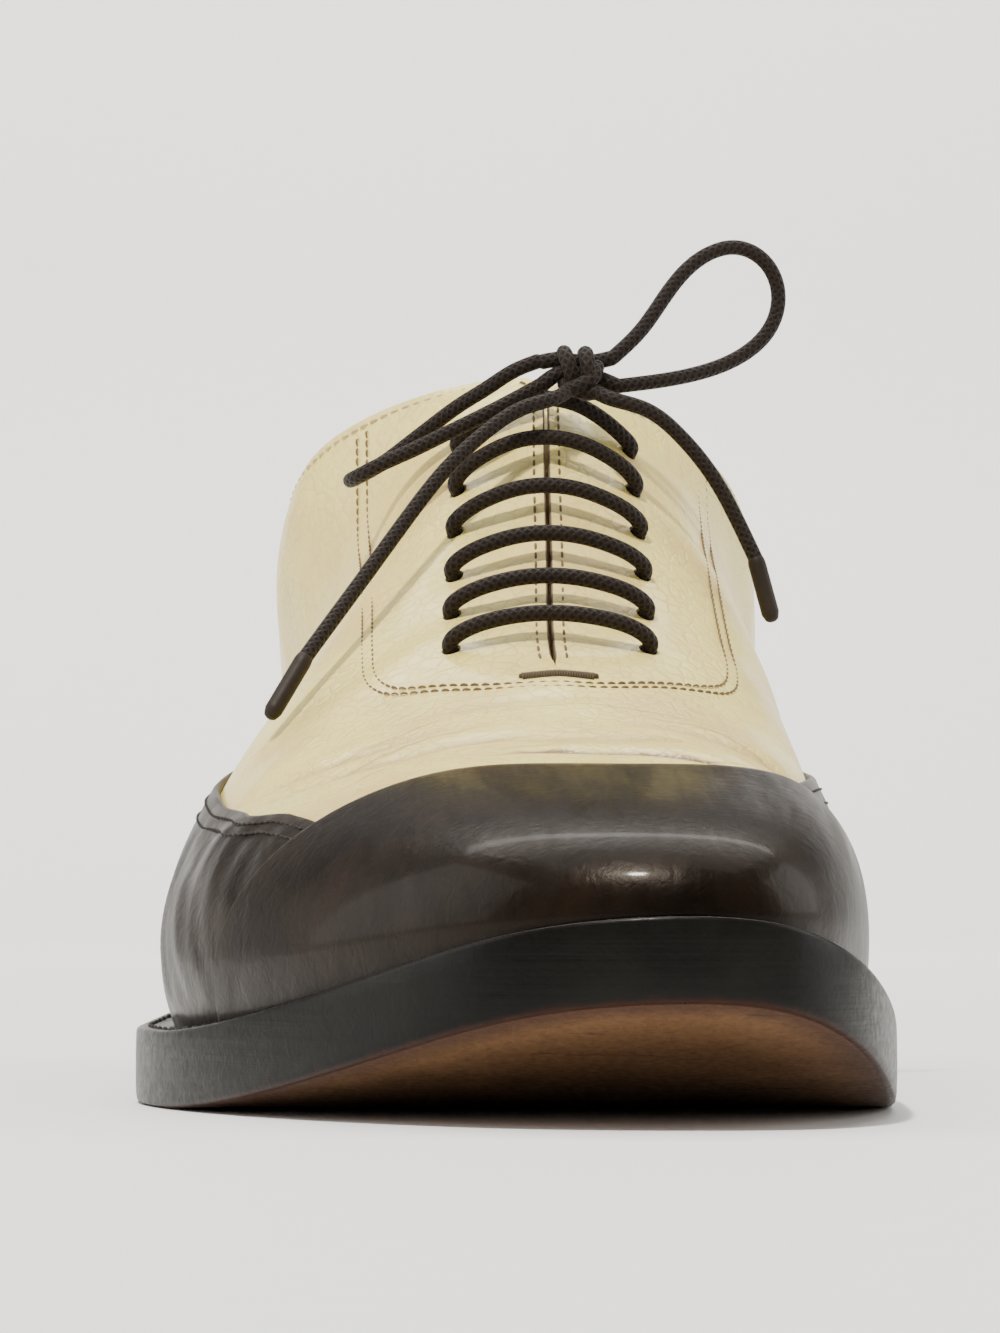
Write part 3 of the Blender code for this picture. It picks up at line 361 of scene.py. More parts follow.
@dataclass
class Last:
    """The foot form that gives the leather its shape."""

    length: float = 0.291
    ball_width: float = 0.0874
    instep_height: float = 0.1025
    collar_height: float = 0.091
    collar_dip: float = 0.0105
    sole_thickness: float = 0.0102
    sole_extension: float = 0.0065
    toe_spring: float = 0.0137
    toe_roll_start: float = 0.739
    toe_roll_power: float = 1.9
    heel_seat: float = 0.033
    heel_length: float = 0.066
    cap_length: float = 0.053
    cap_lean: float = 0.010
    throat_gap: float = 0.001
    clearance: float = 0.0003
    fan_end: float = 0.34
    throat_bottom: float = 0.435
    throat_top: float = 0.68
    throat_opening: float = 0.012
    surface_step: float = 1e-3
    crown_blend: tuple[float, float] = (0.66, 0.76)
    reach_blend: tuple[float, float] = (0.6, 0.85)
    feather: Curve = field(init=False)
    ridge: Curve = field(init=False)
    bulge: Curve = field(init=False)
    topline: Curve = field(init=False)

    def __post_init__(self) -> None:
        """Work out the curves that the tables give."""
        extra = 4
        sides = [np.column_stack((FEATHER[s + "_u"], FEATHER[s + "_w"])) for s in ("lateral", "medial")]
        t = np.concatenate((-FEATHER["p"][::-1], FEATHER["p"][1:]))
        points = np.concatenate((sides[0][::-1], sides[1][1:])) * (self.length, self.ball_width)
        t = np.concatenate((t[-1 - extra:-1] - 2, t, t[1:1 + extra] + 2))
        points = np.concatenate((points[-1 - extra:-1], points, points[1:1 + extra]))
        self.feather = natural_spline(t, points)
        self.bulge = natural_spline(BULGE["p"], np.column_stack([BULGE[n] for n in list(BULGE)[1:]]))
        crest = np.column_stack((RIDGE["w"] * self.ball_width, RIDGE["height"] * self.instep_height))
        self.ridge = natural_spline(RIDGE["u"] * self.length, crest)
        lines = np.column_stack([TOPLINE[n] for n in list(TOPLINE)[1:]])
        self.topline = natural_spline(TOPLINE["p"], lines)

    def feather_normal(self, t: Array) -> Array:
        """Return the outward direction in plan across the feather line.

        Args:
            t: Places, negative on the lateral side.

        Returns:
            One direction for each place.
        """
        step = 1e-4
        along = unit(self.feather(t + step) - self.feather(t - step))
        return np.stack((along[..., 1], -along[..., 0]), -1)

    def feather_offset(self, t: Array, distance: Array) -> Array:
        """Return the feather line moved outwards in plan."""
        return self.feather(t) + self.feather_normal(t) * np.asarray(distance)[..., None]

    def sole_bottom(self, u: Array) -> Array:
        """Return the height of the sole's underside at u.

        Args:
            u: Distances from the back of the last.

        Returns:
            One height for each u.
        """
        share = np.asarray(u, float) / self.length
        arch = even_curve(ARCH["u"], ARCH["rise"], share) * (self.heel_seat - self.sole_thickness)
        roll = np.clip((share - self.toe_roll_start) / (1 - self.toe_roll_start), 0, None)
        return arch + self.toe_spring * roll ** self.toe_roll_power

    def sole_top(self, u: Array) -> Array:
        """Return the height of the sole's upper face at u."""
        return self.sole_bottom(u) + self.sole_thickness

    def edge_distance(self, p: Array) -> Array:
        """Return how far the sole's edge stands out at p."""
        return even_curve(EDGE["p"], EDGE["share"], p) * self.sole_extension

    def column(self, side: int, p: Array) -> Array:
        """Return the four control points of the columns at p, as u, w and z.

        Args:
            side: LATERAL or MEDIAL.
            p: Places round the feather line.

        Returns:
            Four points for each p.
        """
        p = np.asarray(p, float)
        name = "lateral" if side == LATERAL else "medial"
        foot_plan = self.feather(side * p)
        normal = self.feather_normal(side * p)
        foot_z = self.sole_top(foot_plan[..., 0]) + self.clearance
        foot = np.concatenate((foot_plan, foot_z[..., None]), -1)

        def head(column: str) -> Array:
            """Return a column of the heads' table at p."""
            return even_curve(HEADS["p"], HEADS[column], p)

        splay = np.radians(head("splay"))
        droop = np.radians(head(name + "_droop"))
        u = np.where(p <= self.fan_end, HEADS["u"][0], head("u")) * self.length
        low, high = RIDGE["u"][0] * self.length, RIDGE["u"][-1] * self.length
        crest = self.ridge(np.clip(u, low, high))
        opened = smooth_step(self.throat_bottom, self.throat_bottom + self.throat_opening, p)
        half_gap = self.throat_gap / 2 * opened * (1 - smooth_step(self.throat_top, 1.0, p))
        w = crest[..., 0] + side * (head(name + "_crown") * self.ball_width + half_gap)
        crown = head("instep") * self.instep_height + head("collar") * self.collar_height
        blend = smooth_step(*self.crown_blend, p)
        z = crest[..., 1] * (1 - blend) + crown * blend
        top = np.stack((u, w, z), -1)
        shape = self.bulge(p)
        first = 0 if side == LATERAL else 3
        flare = np.radians(shape[..., first])
        width = np.linalg.norm(top[..., :2] - foot_plan, axis=-1)
        lean = np.sin(flare)
        up = np.stack((normal[..., 0] * lean, normal[..., 1] * lean, np.cos(flare)), -1)
        lower = foot + up * (shape[..., first + 1] * (z - foot_z))[..., None]
        step = 0.0005
        slope = (self.ridge(np.clip(u + step, low, high)) - self.ridge(np.clip(u - step, low, high)))
        slope = slope[..., 1] / (2 * step)
        fall = -np.sin(droop) + np.where(p <= self.fan_end, np.cos(splay) * slope, 0)
        away = (np.cos(splay) * np.cos(droop), side * np.sin(splay) * np.cos(droop), fall)
        away = unit(np.stack(away, -1))
        span = np.linalg.norm(top - foot, axis=-1)
        mix = smooth_step(*self.reach_blend, p)
        reach = shape[..., first + 2] * (width * (1 - mix) + span * mix)
        return np.stack((foot, lower, top + away * reach[..., None], top), -2)

    @staticmethod
    def along_column(points: Array, v: Array) -> Array:
        """Return points at v up columns given by their control points.

        Args:
            points: Four control points for each column.
            v: Places up the columns.

        Returns:
            One point for each v.
        """
        v = np.asarray(v, float)[..., None]
        a, b, c, d = (points[..., i, :] for i in range(4))
        return (1 - v) ** 3 * a + 3 * (1 - v) ** 2 * v * b + 3 * (1 - v) * v ** 2 * c + v ** 3 * d

    def skin(self, side: int, p: Array, v: Array) -> Array:
        """Return points of the surface, as u, w and z."""
        return self.along_column(self.column(side, p), v)

    def normal(self, side: int, p: Array, v: Array) -> Array:
        """Return outward directions of the surface, as u, w and z.

        Args:
            side: LATERAL or MEDIAL.
            p: Places round the feather line.
            v: Places up the columns.

        Returns:
            One direction for each place.
        """
        h = self.surface_step
        v = np.asarray(v, float)
        ahead = self.skin(side, np.minimum(p + h, 1.0), v)
        behind = self.skin(side, np.maximum(p - h, 0.0), v)
        above = self.skin(side, p, np.minimum(v + h, 1.0))
        below = self.skin(side, p, np.maximum(v - h, 0.0))
        return unit(-np.cross(above - below, ahead - behind) * side)

    def v_collar(self, side: int, p: Array) -> Array:
        """Return v where the leather ends: the ridge, or the topline behind the throat.

        Args:
            side: LATERAL or MEDIAL.
            p: Places round the feather line.

        Returns:
            One v for each p.
        """
        p = np.asarray(p, float)
        lines = self.topline(np.maximum(p, self.throat_top))
        first = 0 if side == LATERAL else 1
        span = self.instep_height - self.collar_height
        limit = self.collar_height + lines[..., first] * span - lines[..., first + 2] * self.collar_dip
        columns = self.column(side, p)
        inside = (p <= self.throat_top) | (columns[..., 3, 2] <= limit)
        found = bisect(lambda v: self.along_column(columns, v)[..., 2] < limit, 0.3 + 0 * p, 1.0 + 0 * p)
        return np.where(inside, 1.0, found)

    def v_cap(self, side: int, p: Array) -> Array:
        """Return v of the toe cap's seam, 0 where the cap has ended.

        Args:
            side: LATERAL or MEDIAL.
            p: Places round the feather line.

        Returns:
            One v for each p.
        """
        p = np.asarray(p, float)
        columns = self.column(side, p)
        seam_top = self.length - self.cap_length
        ridge_z = self.ridge(np.array(seam_top))[1]
        low = self.sole_top(seam_top - self.cap_lean)

        def ahead(v: Array) -> Array:
            """Return whether points at v lie in front of the seam."""
            at = self.along_column(columns, v)
            return at[..., 0] > seam_top - self.cap_lean * (ridge_z - at[..., 2]) / (ridge_z - low)

        found = bisect(ahead, 0 * p, 1.0 + 0 * p)
        return np.where(ahead(0 * p), found, 0.0)

    def v_foxing(self, side: int, p: Array) -> Array:
        """Return v of the foxing's top line.

        Args:
            side: LATERAL or MEDIAL.
            p: Places round the feather line.

        Returns:
            One v for each p.
        """
        p = np.asarray(p, float)
        columns = self.column(side, p)

        def below(v: Array) -> Array:
            """Return whether points at v lie under the foxing's top line.

            Args:
                v: Places up the columns.

            Returns:
                True for each point under the line.
            """
            at = self.along_column(columns, v)
            share = at[..., 0] / self.length
            line = even_curve(FOXING["u"], FOXING["height"], share) * self.collar_height
            if side == LATERAL:
                line = line + even_curve(LATERAL_FOXING["u"], LATERAL_FOXING["shift"], share)
            return at[..., 2] < line

        return bisect(below, 0 * p, 1.0 + 0 * p)

    def seam_meeting(self, side: int) -> tuple[float, float]:
        """Return p where foxing and cap seam meet, and p where the cap ends at the sole.

        Args:
            side: LATERAL or MEDIAL.

        Returns:
            Both places.
        """
        end = bisect(lambda p: self.v_cap(side, p) > 0, np.array([0.05]), np.array([self.fan_end]))[0]
        start = bisect(lambda p: (self.v_foxing(side, p) < self.v_cap(side, p)) | (p < 0.02),
                       np.array([0.0]), np.array([end]))[0]
        return float(start), float(end)

    def over(self, u: Array, w: Array) -> tuple[Array, Array, Array]:
        """Return side, p and v of the surface's upper half over places in plan.

        Args:
            u: Distances from the back of the last.
            w: Distances to the medial side.

        Returns:
            Side, p and v of each place.
        """
        found = []
        for side in (LATERAL, MEDIAL):
            p, v = np.meshgrid(np.linspace(0.02, 0.84, 150), np.linspace(0.5, 0.999, 60), indexing="ij")
            p, v = p.ravel(), v.ravel()
            at = self.skin(side, p, v)
            gap = np.hypot(at[None, :, 0] - u[:, None], at[None, :, 1] - w[:, None])
            best = gap.argmin(1)
            found.append((gap[np.arange(len(u)), best], p[best], v[best]))
        side = np.where(found[0][0] < found[1][0], LATERAL, MEDIAL)
        p = np.where(side == LATERAL, found[0][1], found[1][1])
        v = np.where(side == LATERAL, found[0][2], found[1][2])
        for name in (LATERAL, MEDIAL):
            mine = side == name
            if not mine.any():
                continue
            p[mine], v[mine] = self.refine(name, p[mine], v[mine], u[mine], w[mine])
        return side, p, v

    def refine(self, side: int, p: Array, v: Array, u: Array, w: Array) -> tuple[Array, Array]:
        """Return p and v moved so that the surface passes over u and w.

        Args:
            side: LATERAL or MEDIAL.
            p: Places round the feather line.
            v: Places up the columns.
            u: Distances from the back of the last.
            w: Distances to the medial side.

        Returns:
            The new p and v.
        """
        h = self.surface_step
        for _ in range(4):
            at = self.skin(side, p, v)
            by_p = (self.skin(side, p + h, v) - at) / h
            by_v = (self.skin(side, p, v - h) - at) / -h
            du, dw = u - at[:, 0], w - at[:, 1]
            area = by_p[:, 0] * by_v[:, 1] - by_p[:, 1] * by_v[:, 0]
            area = np.where(np.abs(area) < 1e-9, 1e-9, area)
            p = p + np.clip((du * by_v[:, 1] - dw * by_v[:, 0]) / area, -0.01, 0.01)
            v = np.clip(v + np.clip((by_p[:, 0] * dw - by_p[:, 1] * du) / area, -0.02, 0.02), 0.4, 1.0)
        return p, v


LAST = Last()


def to_world(points: Array) -> Array:
    """Turn u, w and z into the row's X, Y and Z."""
    points = np.asarray(points, float)
    return np.stack((points[..., 1], LAST.heel_length / 2 - points[..., 0], points[..., 2]), -1)


def direction_to_world(vectors: Array) -> Array:
    """Turn directions in u, w and z into the row's axes."""
    vectors = np.asarray(vectors, float)
    return np.stack((vectors[..., 1], -vectors[..., 0], vectors[..., 2]), -1)


@dataclass
class Sheet:
    """A patch of the last's surface as columns along t and rows up v, in the row's axes."""

    t: Array
    low: Callable[[int, Array], Array]
    high: Callable[[int, Array], Array]
    rows: int
    points: Array = field(init=False)
    normals: Array = field(init=False)
    v: Array = field(init=False)

    def __post_init__(self) -> None:
        """Place the grid and find its outward directions."""
        count = len(self.t)
        shares = np.linspace(0, 1, self.rows)
        self.points = np.zeros((count, self.rows, 3))
        self.normals = np.zeros((count, self.rows, 3))
        self.v = np.zeros((count, self.rows))
        for side in (LATERAL, MEDIAL):
            mine = self.t <= 0 if side == LATERAL else self.t > 0
            p = np.abs(self.t[mine])
            if not len(p):
                continue
            low, high = self.low(side, p), self.high(side, p)
            v = low[:, None] + (np.maximum(high, low) - low)[:, None] * shares
            grid_p = np.repeat(p[:, None], self.rows, 1)
            self.v[mine] = v
            self.points[mine] = to_world(LAST.skin(side, grid_p, v))
            self.normals[mine] = direction_to_world(self.steady_normals(side, grid_p, v))
        for k in np.flatnonzero(np.abs(self.t) < 1e-9):
            other = LAST.normal(MEDIAL, np.zeros(self.rows), self.v[k])
            self.normals[k] = unit(self.normals[k] + direction_to_world(other))
        self.normals[np.abs(np.abs(self.t) - 1) < 1e-9, :, 0] = 0
        self.normals = unit(self.normals)

    @staticmethod
    def steady_normals(side: int, p: Array, v: Array) -> Array:
        """Return outward directions that both sides share along the ridge.

        Args:
            side: LATERAL or MEDIAL.
            p: Places round the feather line.
            v: Places up the columns.

        Returns:
            One direction for each place.
        """
        at_ridge = v > 0.999
        safe_v = np.where(p <= LAST.fan_end, np.minimum(v, 0.97), v)
        normals = LAST.normal(side, p, safe_v)
        shared = LAST.normal(side, np.maximum(p, LAST.fan_end + 0.002), np.ones_like(v))
        shared[..., 1] = 0
        use = at_ridge & (p <= LAST.throat_top)
        return unit(np.where(use[..., None], shared, normals))

    def moved(self, distance: Array | float) -> Array:
        """Return the grid moved along its outward directions."""
        distance = np.broadcast_to(np.asarray(distance, float), self.v.shape)
        return self.points + self.normals * distance[..., None]


@dataclass
class Layer:
    """A leather layer between two offsets of a sheet, with a rounded upper edge."""

    sheet: Sheet
    outer: Array | float
    inner: Array | float
    reach: Array | float = 0.0003
    open_top: Array | None = None
    edge_steps: int = 5

    def loops(self) -> Array:
        """Return the closed cross section of each column.

        Returns:
            One closed row of points for each column.
        """
        outside = self.sheet.moved(self.outer)
        inside = self.sheet.moved(self.inner)
        top_out, top_in = outside[:, -1], inside[:, -1]
        middle = (top_out + top_in) / 2
        half = (top_out - top_in) / 2
        rise = unit(self.sheet.points[:, -1] - self.sheet.points[:, -2])
        reach = np.broadcast_to(np.asarray(self.reach, float), (len(middle),))[:, None]
        arcs = []
        for k in range(1, self.edge_steps):
            angle = math.pi * k / self.edge_steps
            arcs.append(middle + half * math.cos(angle) + rise * reach * math.sin(angle))
        return np.concatenate((outside, np.stack(arcs, 1), inside[:, ::-1]), 1)

    def mesh(self) -> tuple[Array, Faces, list[int]]:
        """Return vertices, faces and each face's finish: 0 outside, 1 inside, 2 edge.

        Returns:
            Points, corner numbers and finish numbers.
        """
        loops = self.loops()
        columns, count = loops.shape[:2]
        rows = self.sheet.rows
        faces, finishes = [], []
        for i in range(columns - 1):
            for j in range(count):
                on_edge = rows - 1 <= j < rows + self.edge_steps - 1
                if on_edge and self.open_top is not None and not (self.open_top[i] and self.open_top[i + 1]):
                    continue
                k = (j + 1) % count
                faces.append((i * count + j, i * count + k, (i + 1) * count + k, (i + 1) * count + j))
                finishes.append(2 if on_edge else (0 if j < rows - 1 else 1))
        for i in (0, columns - 1):
            for j in range(count // 2):
                a, b = j, count - 1 - j
                if b - 1 <= a + 1:
                    continue
                faces.append((i * count + a, i * count + a + 1, i * count + b - 1, i * count + b))
                finishes.append(2)
        if np.allclose(loops[0], loops[-1], atol=MERGE_DISTANCE):
            spare = 2 * sum(1 for j in range(count // 2) if count - 2 - j > j + 1)
            faces, finishes = faces[:-spare], finishes[:-spare]
        return loops.reshape(-1, 3), faces, finishes


def ring_faces(low: int, high: int, count: int) -> Faces:
    """Return the faces between two rings, given the number of each ring's first point."""
    return [(low + j, low + (j + 1) % count, high + (j + 1) % count, high + j) for j in range(count)]


class Workshop:
    """Makes the scene's mesh pieces and sets them on the body."""

    @staticmethod
    def piece(name: str, vertices: Array, faces: Iterable[Sequence[int]],
              materials: Sequence["Finish"], slot: str,
              finishes: Sequence[int] | None = None, merge: bool = True,
              smooth_angle: float = 50.0, values: dict[str, Array] | None = None,
              replaces: Sequence[str] = ()) -> Piece:
        """Make one mesh piece that rides on the shoe.

        Args:
            name: The piece's name.
            vertices: Points in the row's axes.
            faces: Corner numbers of each face.
            materials: Finishes in order.
            slot: The record's material slot; not used.
            finishes: Each face's place in materials.
            merge: Whether points that meet become one.
            smooth_angle: Degrees above which an edge stays sharp.
            values: Named numbers, one for each vertex.
            replaces: CAD nodes that the piece stands for.

        Returns:
            The new object.
        """
        mesh = bpy.data.meshes.new(name)
        mesh.from_pydata(np.asarray(vertices, float).tolist(), [], [tuple(map(int, f)) for f in faces])
        for key, numbers in (values or {}).items():
            made = mesh.attributes.new(key, "FLOAT", "POINT")
            made.data.foreach_set("value", np.asarray(numbers, np.float32).ravel())
        for material in materials:
            mesh.materials.append(material.material())
        if finishes is not None:
            mesh.polygons.foreach_set("material_index", np.asarray(finishes, np.int32))
        work = bmesh.new()
        work.from_mesh(mesh)
        if merge:
            bmesh.ops.remove_doubles(work, verts=work.verts, dist=MERGE_DISTANCE)
            bmesh.ops.dissolve_degenerate(work, edges=work.edges, dist=MERGE_DISTANCE / 4)
        bmesh.ops.recalc_face_normals(work, faces=work.faces)
        work.to_mesh(mesh)
        work.free()
        mesh.shade_smooth()
        mesh.set_sharp_from_angle(angle=math.radians(smooth_angle))
        made = bpy.data.objects.new(name, mesh)
        bpy.context.scene.collection.objects.link(made)
        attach(made, ROOT)
        if replaces:
            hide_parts(*replaces)
        log.info("%s: %d faces", name, len(mesh.polygons))
        return made


@dataclass
class Cord:
    """A round cord along a path, with domed ends and a thread count in its UV map."""

    path: Array
    diameter: float
    sides: int = 14
    taper_start: float = 1.0
    taper_end: float = 1.0
    dome: float = 0.7

    def frames(self, path: Array) -> tuple[Array, Array]:
        """Return two directions across the path that turn as little as they can.

        Args:
            path: Points in order.

        Returns:
            Both directions at each point.
        """
        along = unit(np.gradient(path, axis=0))
        side = np.cross(along[0], (0.0, 0.0, 1.0))
        if np.linalg.norm(side) < 0.1:
            side = np.cross(along[0], (0.0, 1.0, 0.0))
        sides = [unit(side)]
        for k in range(1, len(path)):
            carried = sides[-1] - along[k] * np.dot(sides[-1], along[k])
            sides.append(unit(carried))
        sides = np.array(sides)
        return sides, np.cross(along, sides)

    def mesh(self) -> tuple[Array, Faces, Array]:
        """Return vertices, faces and one UV for each face corner.

        Returns:
            Points, corner numbers and map places.
        """
        radius = self.diameter / 2
        path = self.path
        along = unit(np.gradient(path, axis=0))
        widths = np.full(len(path), radius)
        blend = max(2, len(path) // 12)
        for k in range(blend):
            share = 0.5 - 0.5 * math.cos(math.pi * k / blend)
            widths[k] *= self.taper_start + (1 - self.taper_start) * share
            widths[-1 - k] *= self.taper_end + (1 - self.taper_end) * share
        start, end = [], []
        for angle in (30, 60, 85):
            reach, share = math.sin(math.radians(angle)), math.cos(math.radians(angle))
            start.insert(0, (path[0] - along[0] * reach * widths[0] * self.dome, widths[0] * share))
            end.append((path[-1] + along[-1] * reach * widths[-1] * self.dome, widths[-1] * share))
        places = np.array([p for p, _ in start] + list(path) + [p for p, _ in end])
        sizes = np.array([s for _, s in start] + list(widths) + [s for _, s in end])
        first, second = self.frames(places)
        turns = np.linspace(0, 2 * math.pi, self.sides, endpoint=False)
        ring = first[:, None] * np.cos(turns)[None, :, None] + second[:, None] * np.sin(turns)[None, :, None]
        vertices = places[:, None] + ring * sizes[:, None, None]
        reach = arc_lengths(places) / self.diameter
        faces, uvs = [], []
        rings = len(places)
        for i in range(rings - 1):
            faces += ring_faces(i * self.sides, (i + 1) * self.sides, self.sides)
            for j in range(self.sides):
                a, b = j / self.sides, (j + 1) / self.sides
                uvs += [(a, reach[i]), (b, reach[i]), (b, reach[i + 1]), (a, reach[i + 1])]
        for base, order in ((0, -1), ((rings - 1) * self.sides, 1)):
            faces.append(tuple(base + j for j in range(self.sides))[::order])
            uvs += [(0.0, 0.0)] * self.sides
        return vertices.reshape(-1, 3), faces, np.array(uvs)


def cord_piece(name: str, cords: Sequence[Cord], material: "Finish", slot: str,
               replaces: Sequence[str] = ()) -> Piece:
    """Make one piece of one or more round cords, with the UV map of their braid.

    Args:
        name: The piece's name.
        cords: Cords of the piece.
        material: The finish.
        slot: The record's material slot; not used.
        replaces: CAD nodes that the piece stands for.

    Returns:
        The new object.
    """
    vertices, faces, uvs, base = [], [], [], 0
    for cord in cords:
        points, corners, uv = cord.mesh()
        vertices.append(points)
        faces += [tuple(base + n for n in face) for face in corners]
        uvs.append(uv)
        base += len(points)
    made = Workshop.piece(name, np.concatenate(vertices), faces, [material], slot, merge=False,
                          smooth_angle=80.0, replaces=replaces)
    flat = np.concatenate(uvs)
    layer = made.data.uv_layers.new(name="braid")
    order = np.zeros(len(layer.data) * 2, np.float32)
    start = 0
    for polygon, corners in zip(made.data.polygons, faces):
        place = {number: k for k, number in enumerate(corners)}
        for loop in polygon.loop_indices:
            number = made.data.loops[loop].vertex_index
            order[2 * loop:2 * loop + 2] = flat[start + place[number]]
        start += len(corners)
    layer.data.foreach_set("uv", order)
    return made


class Shader:
    """A Principled material while its nodes are laid out."""

    def __init__(self, name: str) -> None:
        """Start a material with its shader and object coordinates.

        Args:
            name: The material's name.
        """
        self.material = bpy.data.materials.new(name)
        self.material.use_nodes = True
        self.tree = self.material.node_tree
        self.principled = self.tree.nodes["Principled BSDF"]
        self.object_place = self.tree.nodes.new("ShaderNodeTexCoord").outputs["Object"]

    def node(self, kind: str, fed: dict[str | int, object], **settings: object) -> bpy.types.Node:
        """Add a node.

        Args:
            kind: Type of the node.
            fed: A socket or a value for each input.
            **settings: Properties by name.

        Returns:
            The new node.
        """
        made = self.tree.nodes.new(kind)
        for key, value in settings.items():
            setattr(made, key, value)
        for key, value in fed.items():
            self.feed(made.inputs[key], value)
        return made

    def feed(self, target: Socket, value: object) -> None:
        """Link a socket, or set its value.

        Args:
            target: Socket to feed.
            value: A socket, a number or a colour.
        """
        if isinstance(value, bpy.types.NodeSocket):
            self.tree.links.new(value, target)
        elif isinstance(value, (tuple, list)) and len(value) == 3 and target.type == "RGBA":
            target.default_value = (*value, 1.0)
        else:
            target.default_value = value

    def stretched(self, scale: Triple) -> Socket:
        """Return object coordinates scaled along each axis."""
        return self.node("ShaderNodeMapping", {"Vector": self.object_place, "Scale": scale}).outputs[0]

    def noise(self, scale: float, detail: float = 3.0, distortion: float = 0.0,
              place: Socket | None = None) -> Socket:
        """Return a noise from 0 to 1, scale in waves for each metre."""
        fed = {0: place or self.object_place, "Scale": scale, "Detail": detail, "Distortion": distortion}
        return self.node("ShaderNodeTexNoise", fed).outputs["Fac"]

    def cracks(self, scale: float, warp: float) -> Socket:
        """Return the distance to the borders of warped cells.

        Args:
            scale: Cells for each metre.
            warp: How far the cells are warped.

        Returns:
            The distance.
        """
        place = self.object_place
        shift = self.node("ShaderNodeTexNoise", {"Vector": place, "Scale": scale * 0.7}).outputs["Color"]
        warped = self.node("ShaderNodeVectorMath", {0: shift, 1: (warp / scale,) * 3, 2: place},
                           operation="MULTIPLY_ADD").outputs["Vector"]
        return self.node("ShaderNodeTexVoronoi", {"Vector": warped, "Scale": scale},
                         feature="DISTANCE_TO_EDGE").outputs["Distance"]

    def value(self, name: str) -> Socket:
        """Return a number stored on the mesh's vertices."""
        return self.node("ShaderNodeAttribute", {}, attribute_name=name).outputs["Fac"]

    def split(self, vector: Socket) -> Sequence[Socket]:
        """Return X, Y and Z of a vector."""
        return self.node("ShaderNodeSeparateXYZ", {0: vector}).outputs

    def spread(self, factor: Socket, low: float, high: float,
               start: float = 0.0, stop: float = 1.0) -> Socket:
        """Return start below low, stop above high and a ramp between."""
        fed = {"Value": factor, "From Min": low, "From Max": high, "To Min": start, "To Max": stop}
        return self.node("ShaderNodeMapRange", fed, clamp=True).outputs["Result"]

    def mix(self, factor: object, first: object, second: object) -> Socket:
        """Return a blend of two colours."""
        return self.node("ShaderNodeMix", {0: factor, 6: first, 7: second}, data_type="RGBA").outputs[2]

    def sum(self, operation: str, *terms: object) -> Socket:
        """Return numbers joined by a Math operation."""
        return self.node("ShaderNodeMath", dict(enumerate(terms)), operation=operation).outputs[0]

    def bumps(self, heights: Sequence[tuple[Socket, float]]) -> None:
        """Raise the surface by each height, 0 to 1, times its depth in metres.

        Args:
            heights: Each height with its depth.
        """
        last = {}
        for height, depth in heights:
            fed = {"Distance": abs(depth), "Strength": 1.0, "Height": height, **last}
            last = {"Normal": self.node("ShaderNodeBump", fed, invert=depth < 0).outputs["Normal"]}
        self.feed(self.principled.inputs["Normal"], last["Normal"])

    def finish(self, color: object, roughness: object, **fixed: object) -> Material:
        """Feed the shader and return the material.

        Args:
            color: Colour of the surface.
            roughness: Roughness of the surface.
            **fixed: Other inputs, with _ for a space.

        Returns:
            The material.
        """
        for key, value in {"Base Color": color, "Roughness": roughness, **fixed}.items():
            self.feed(self.principled.inputs[key.replace("_", " ")], value)
        return self.material


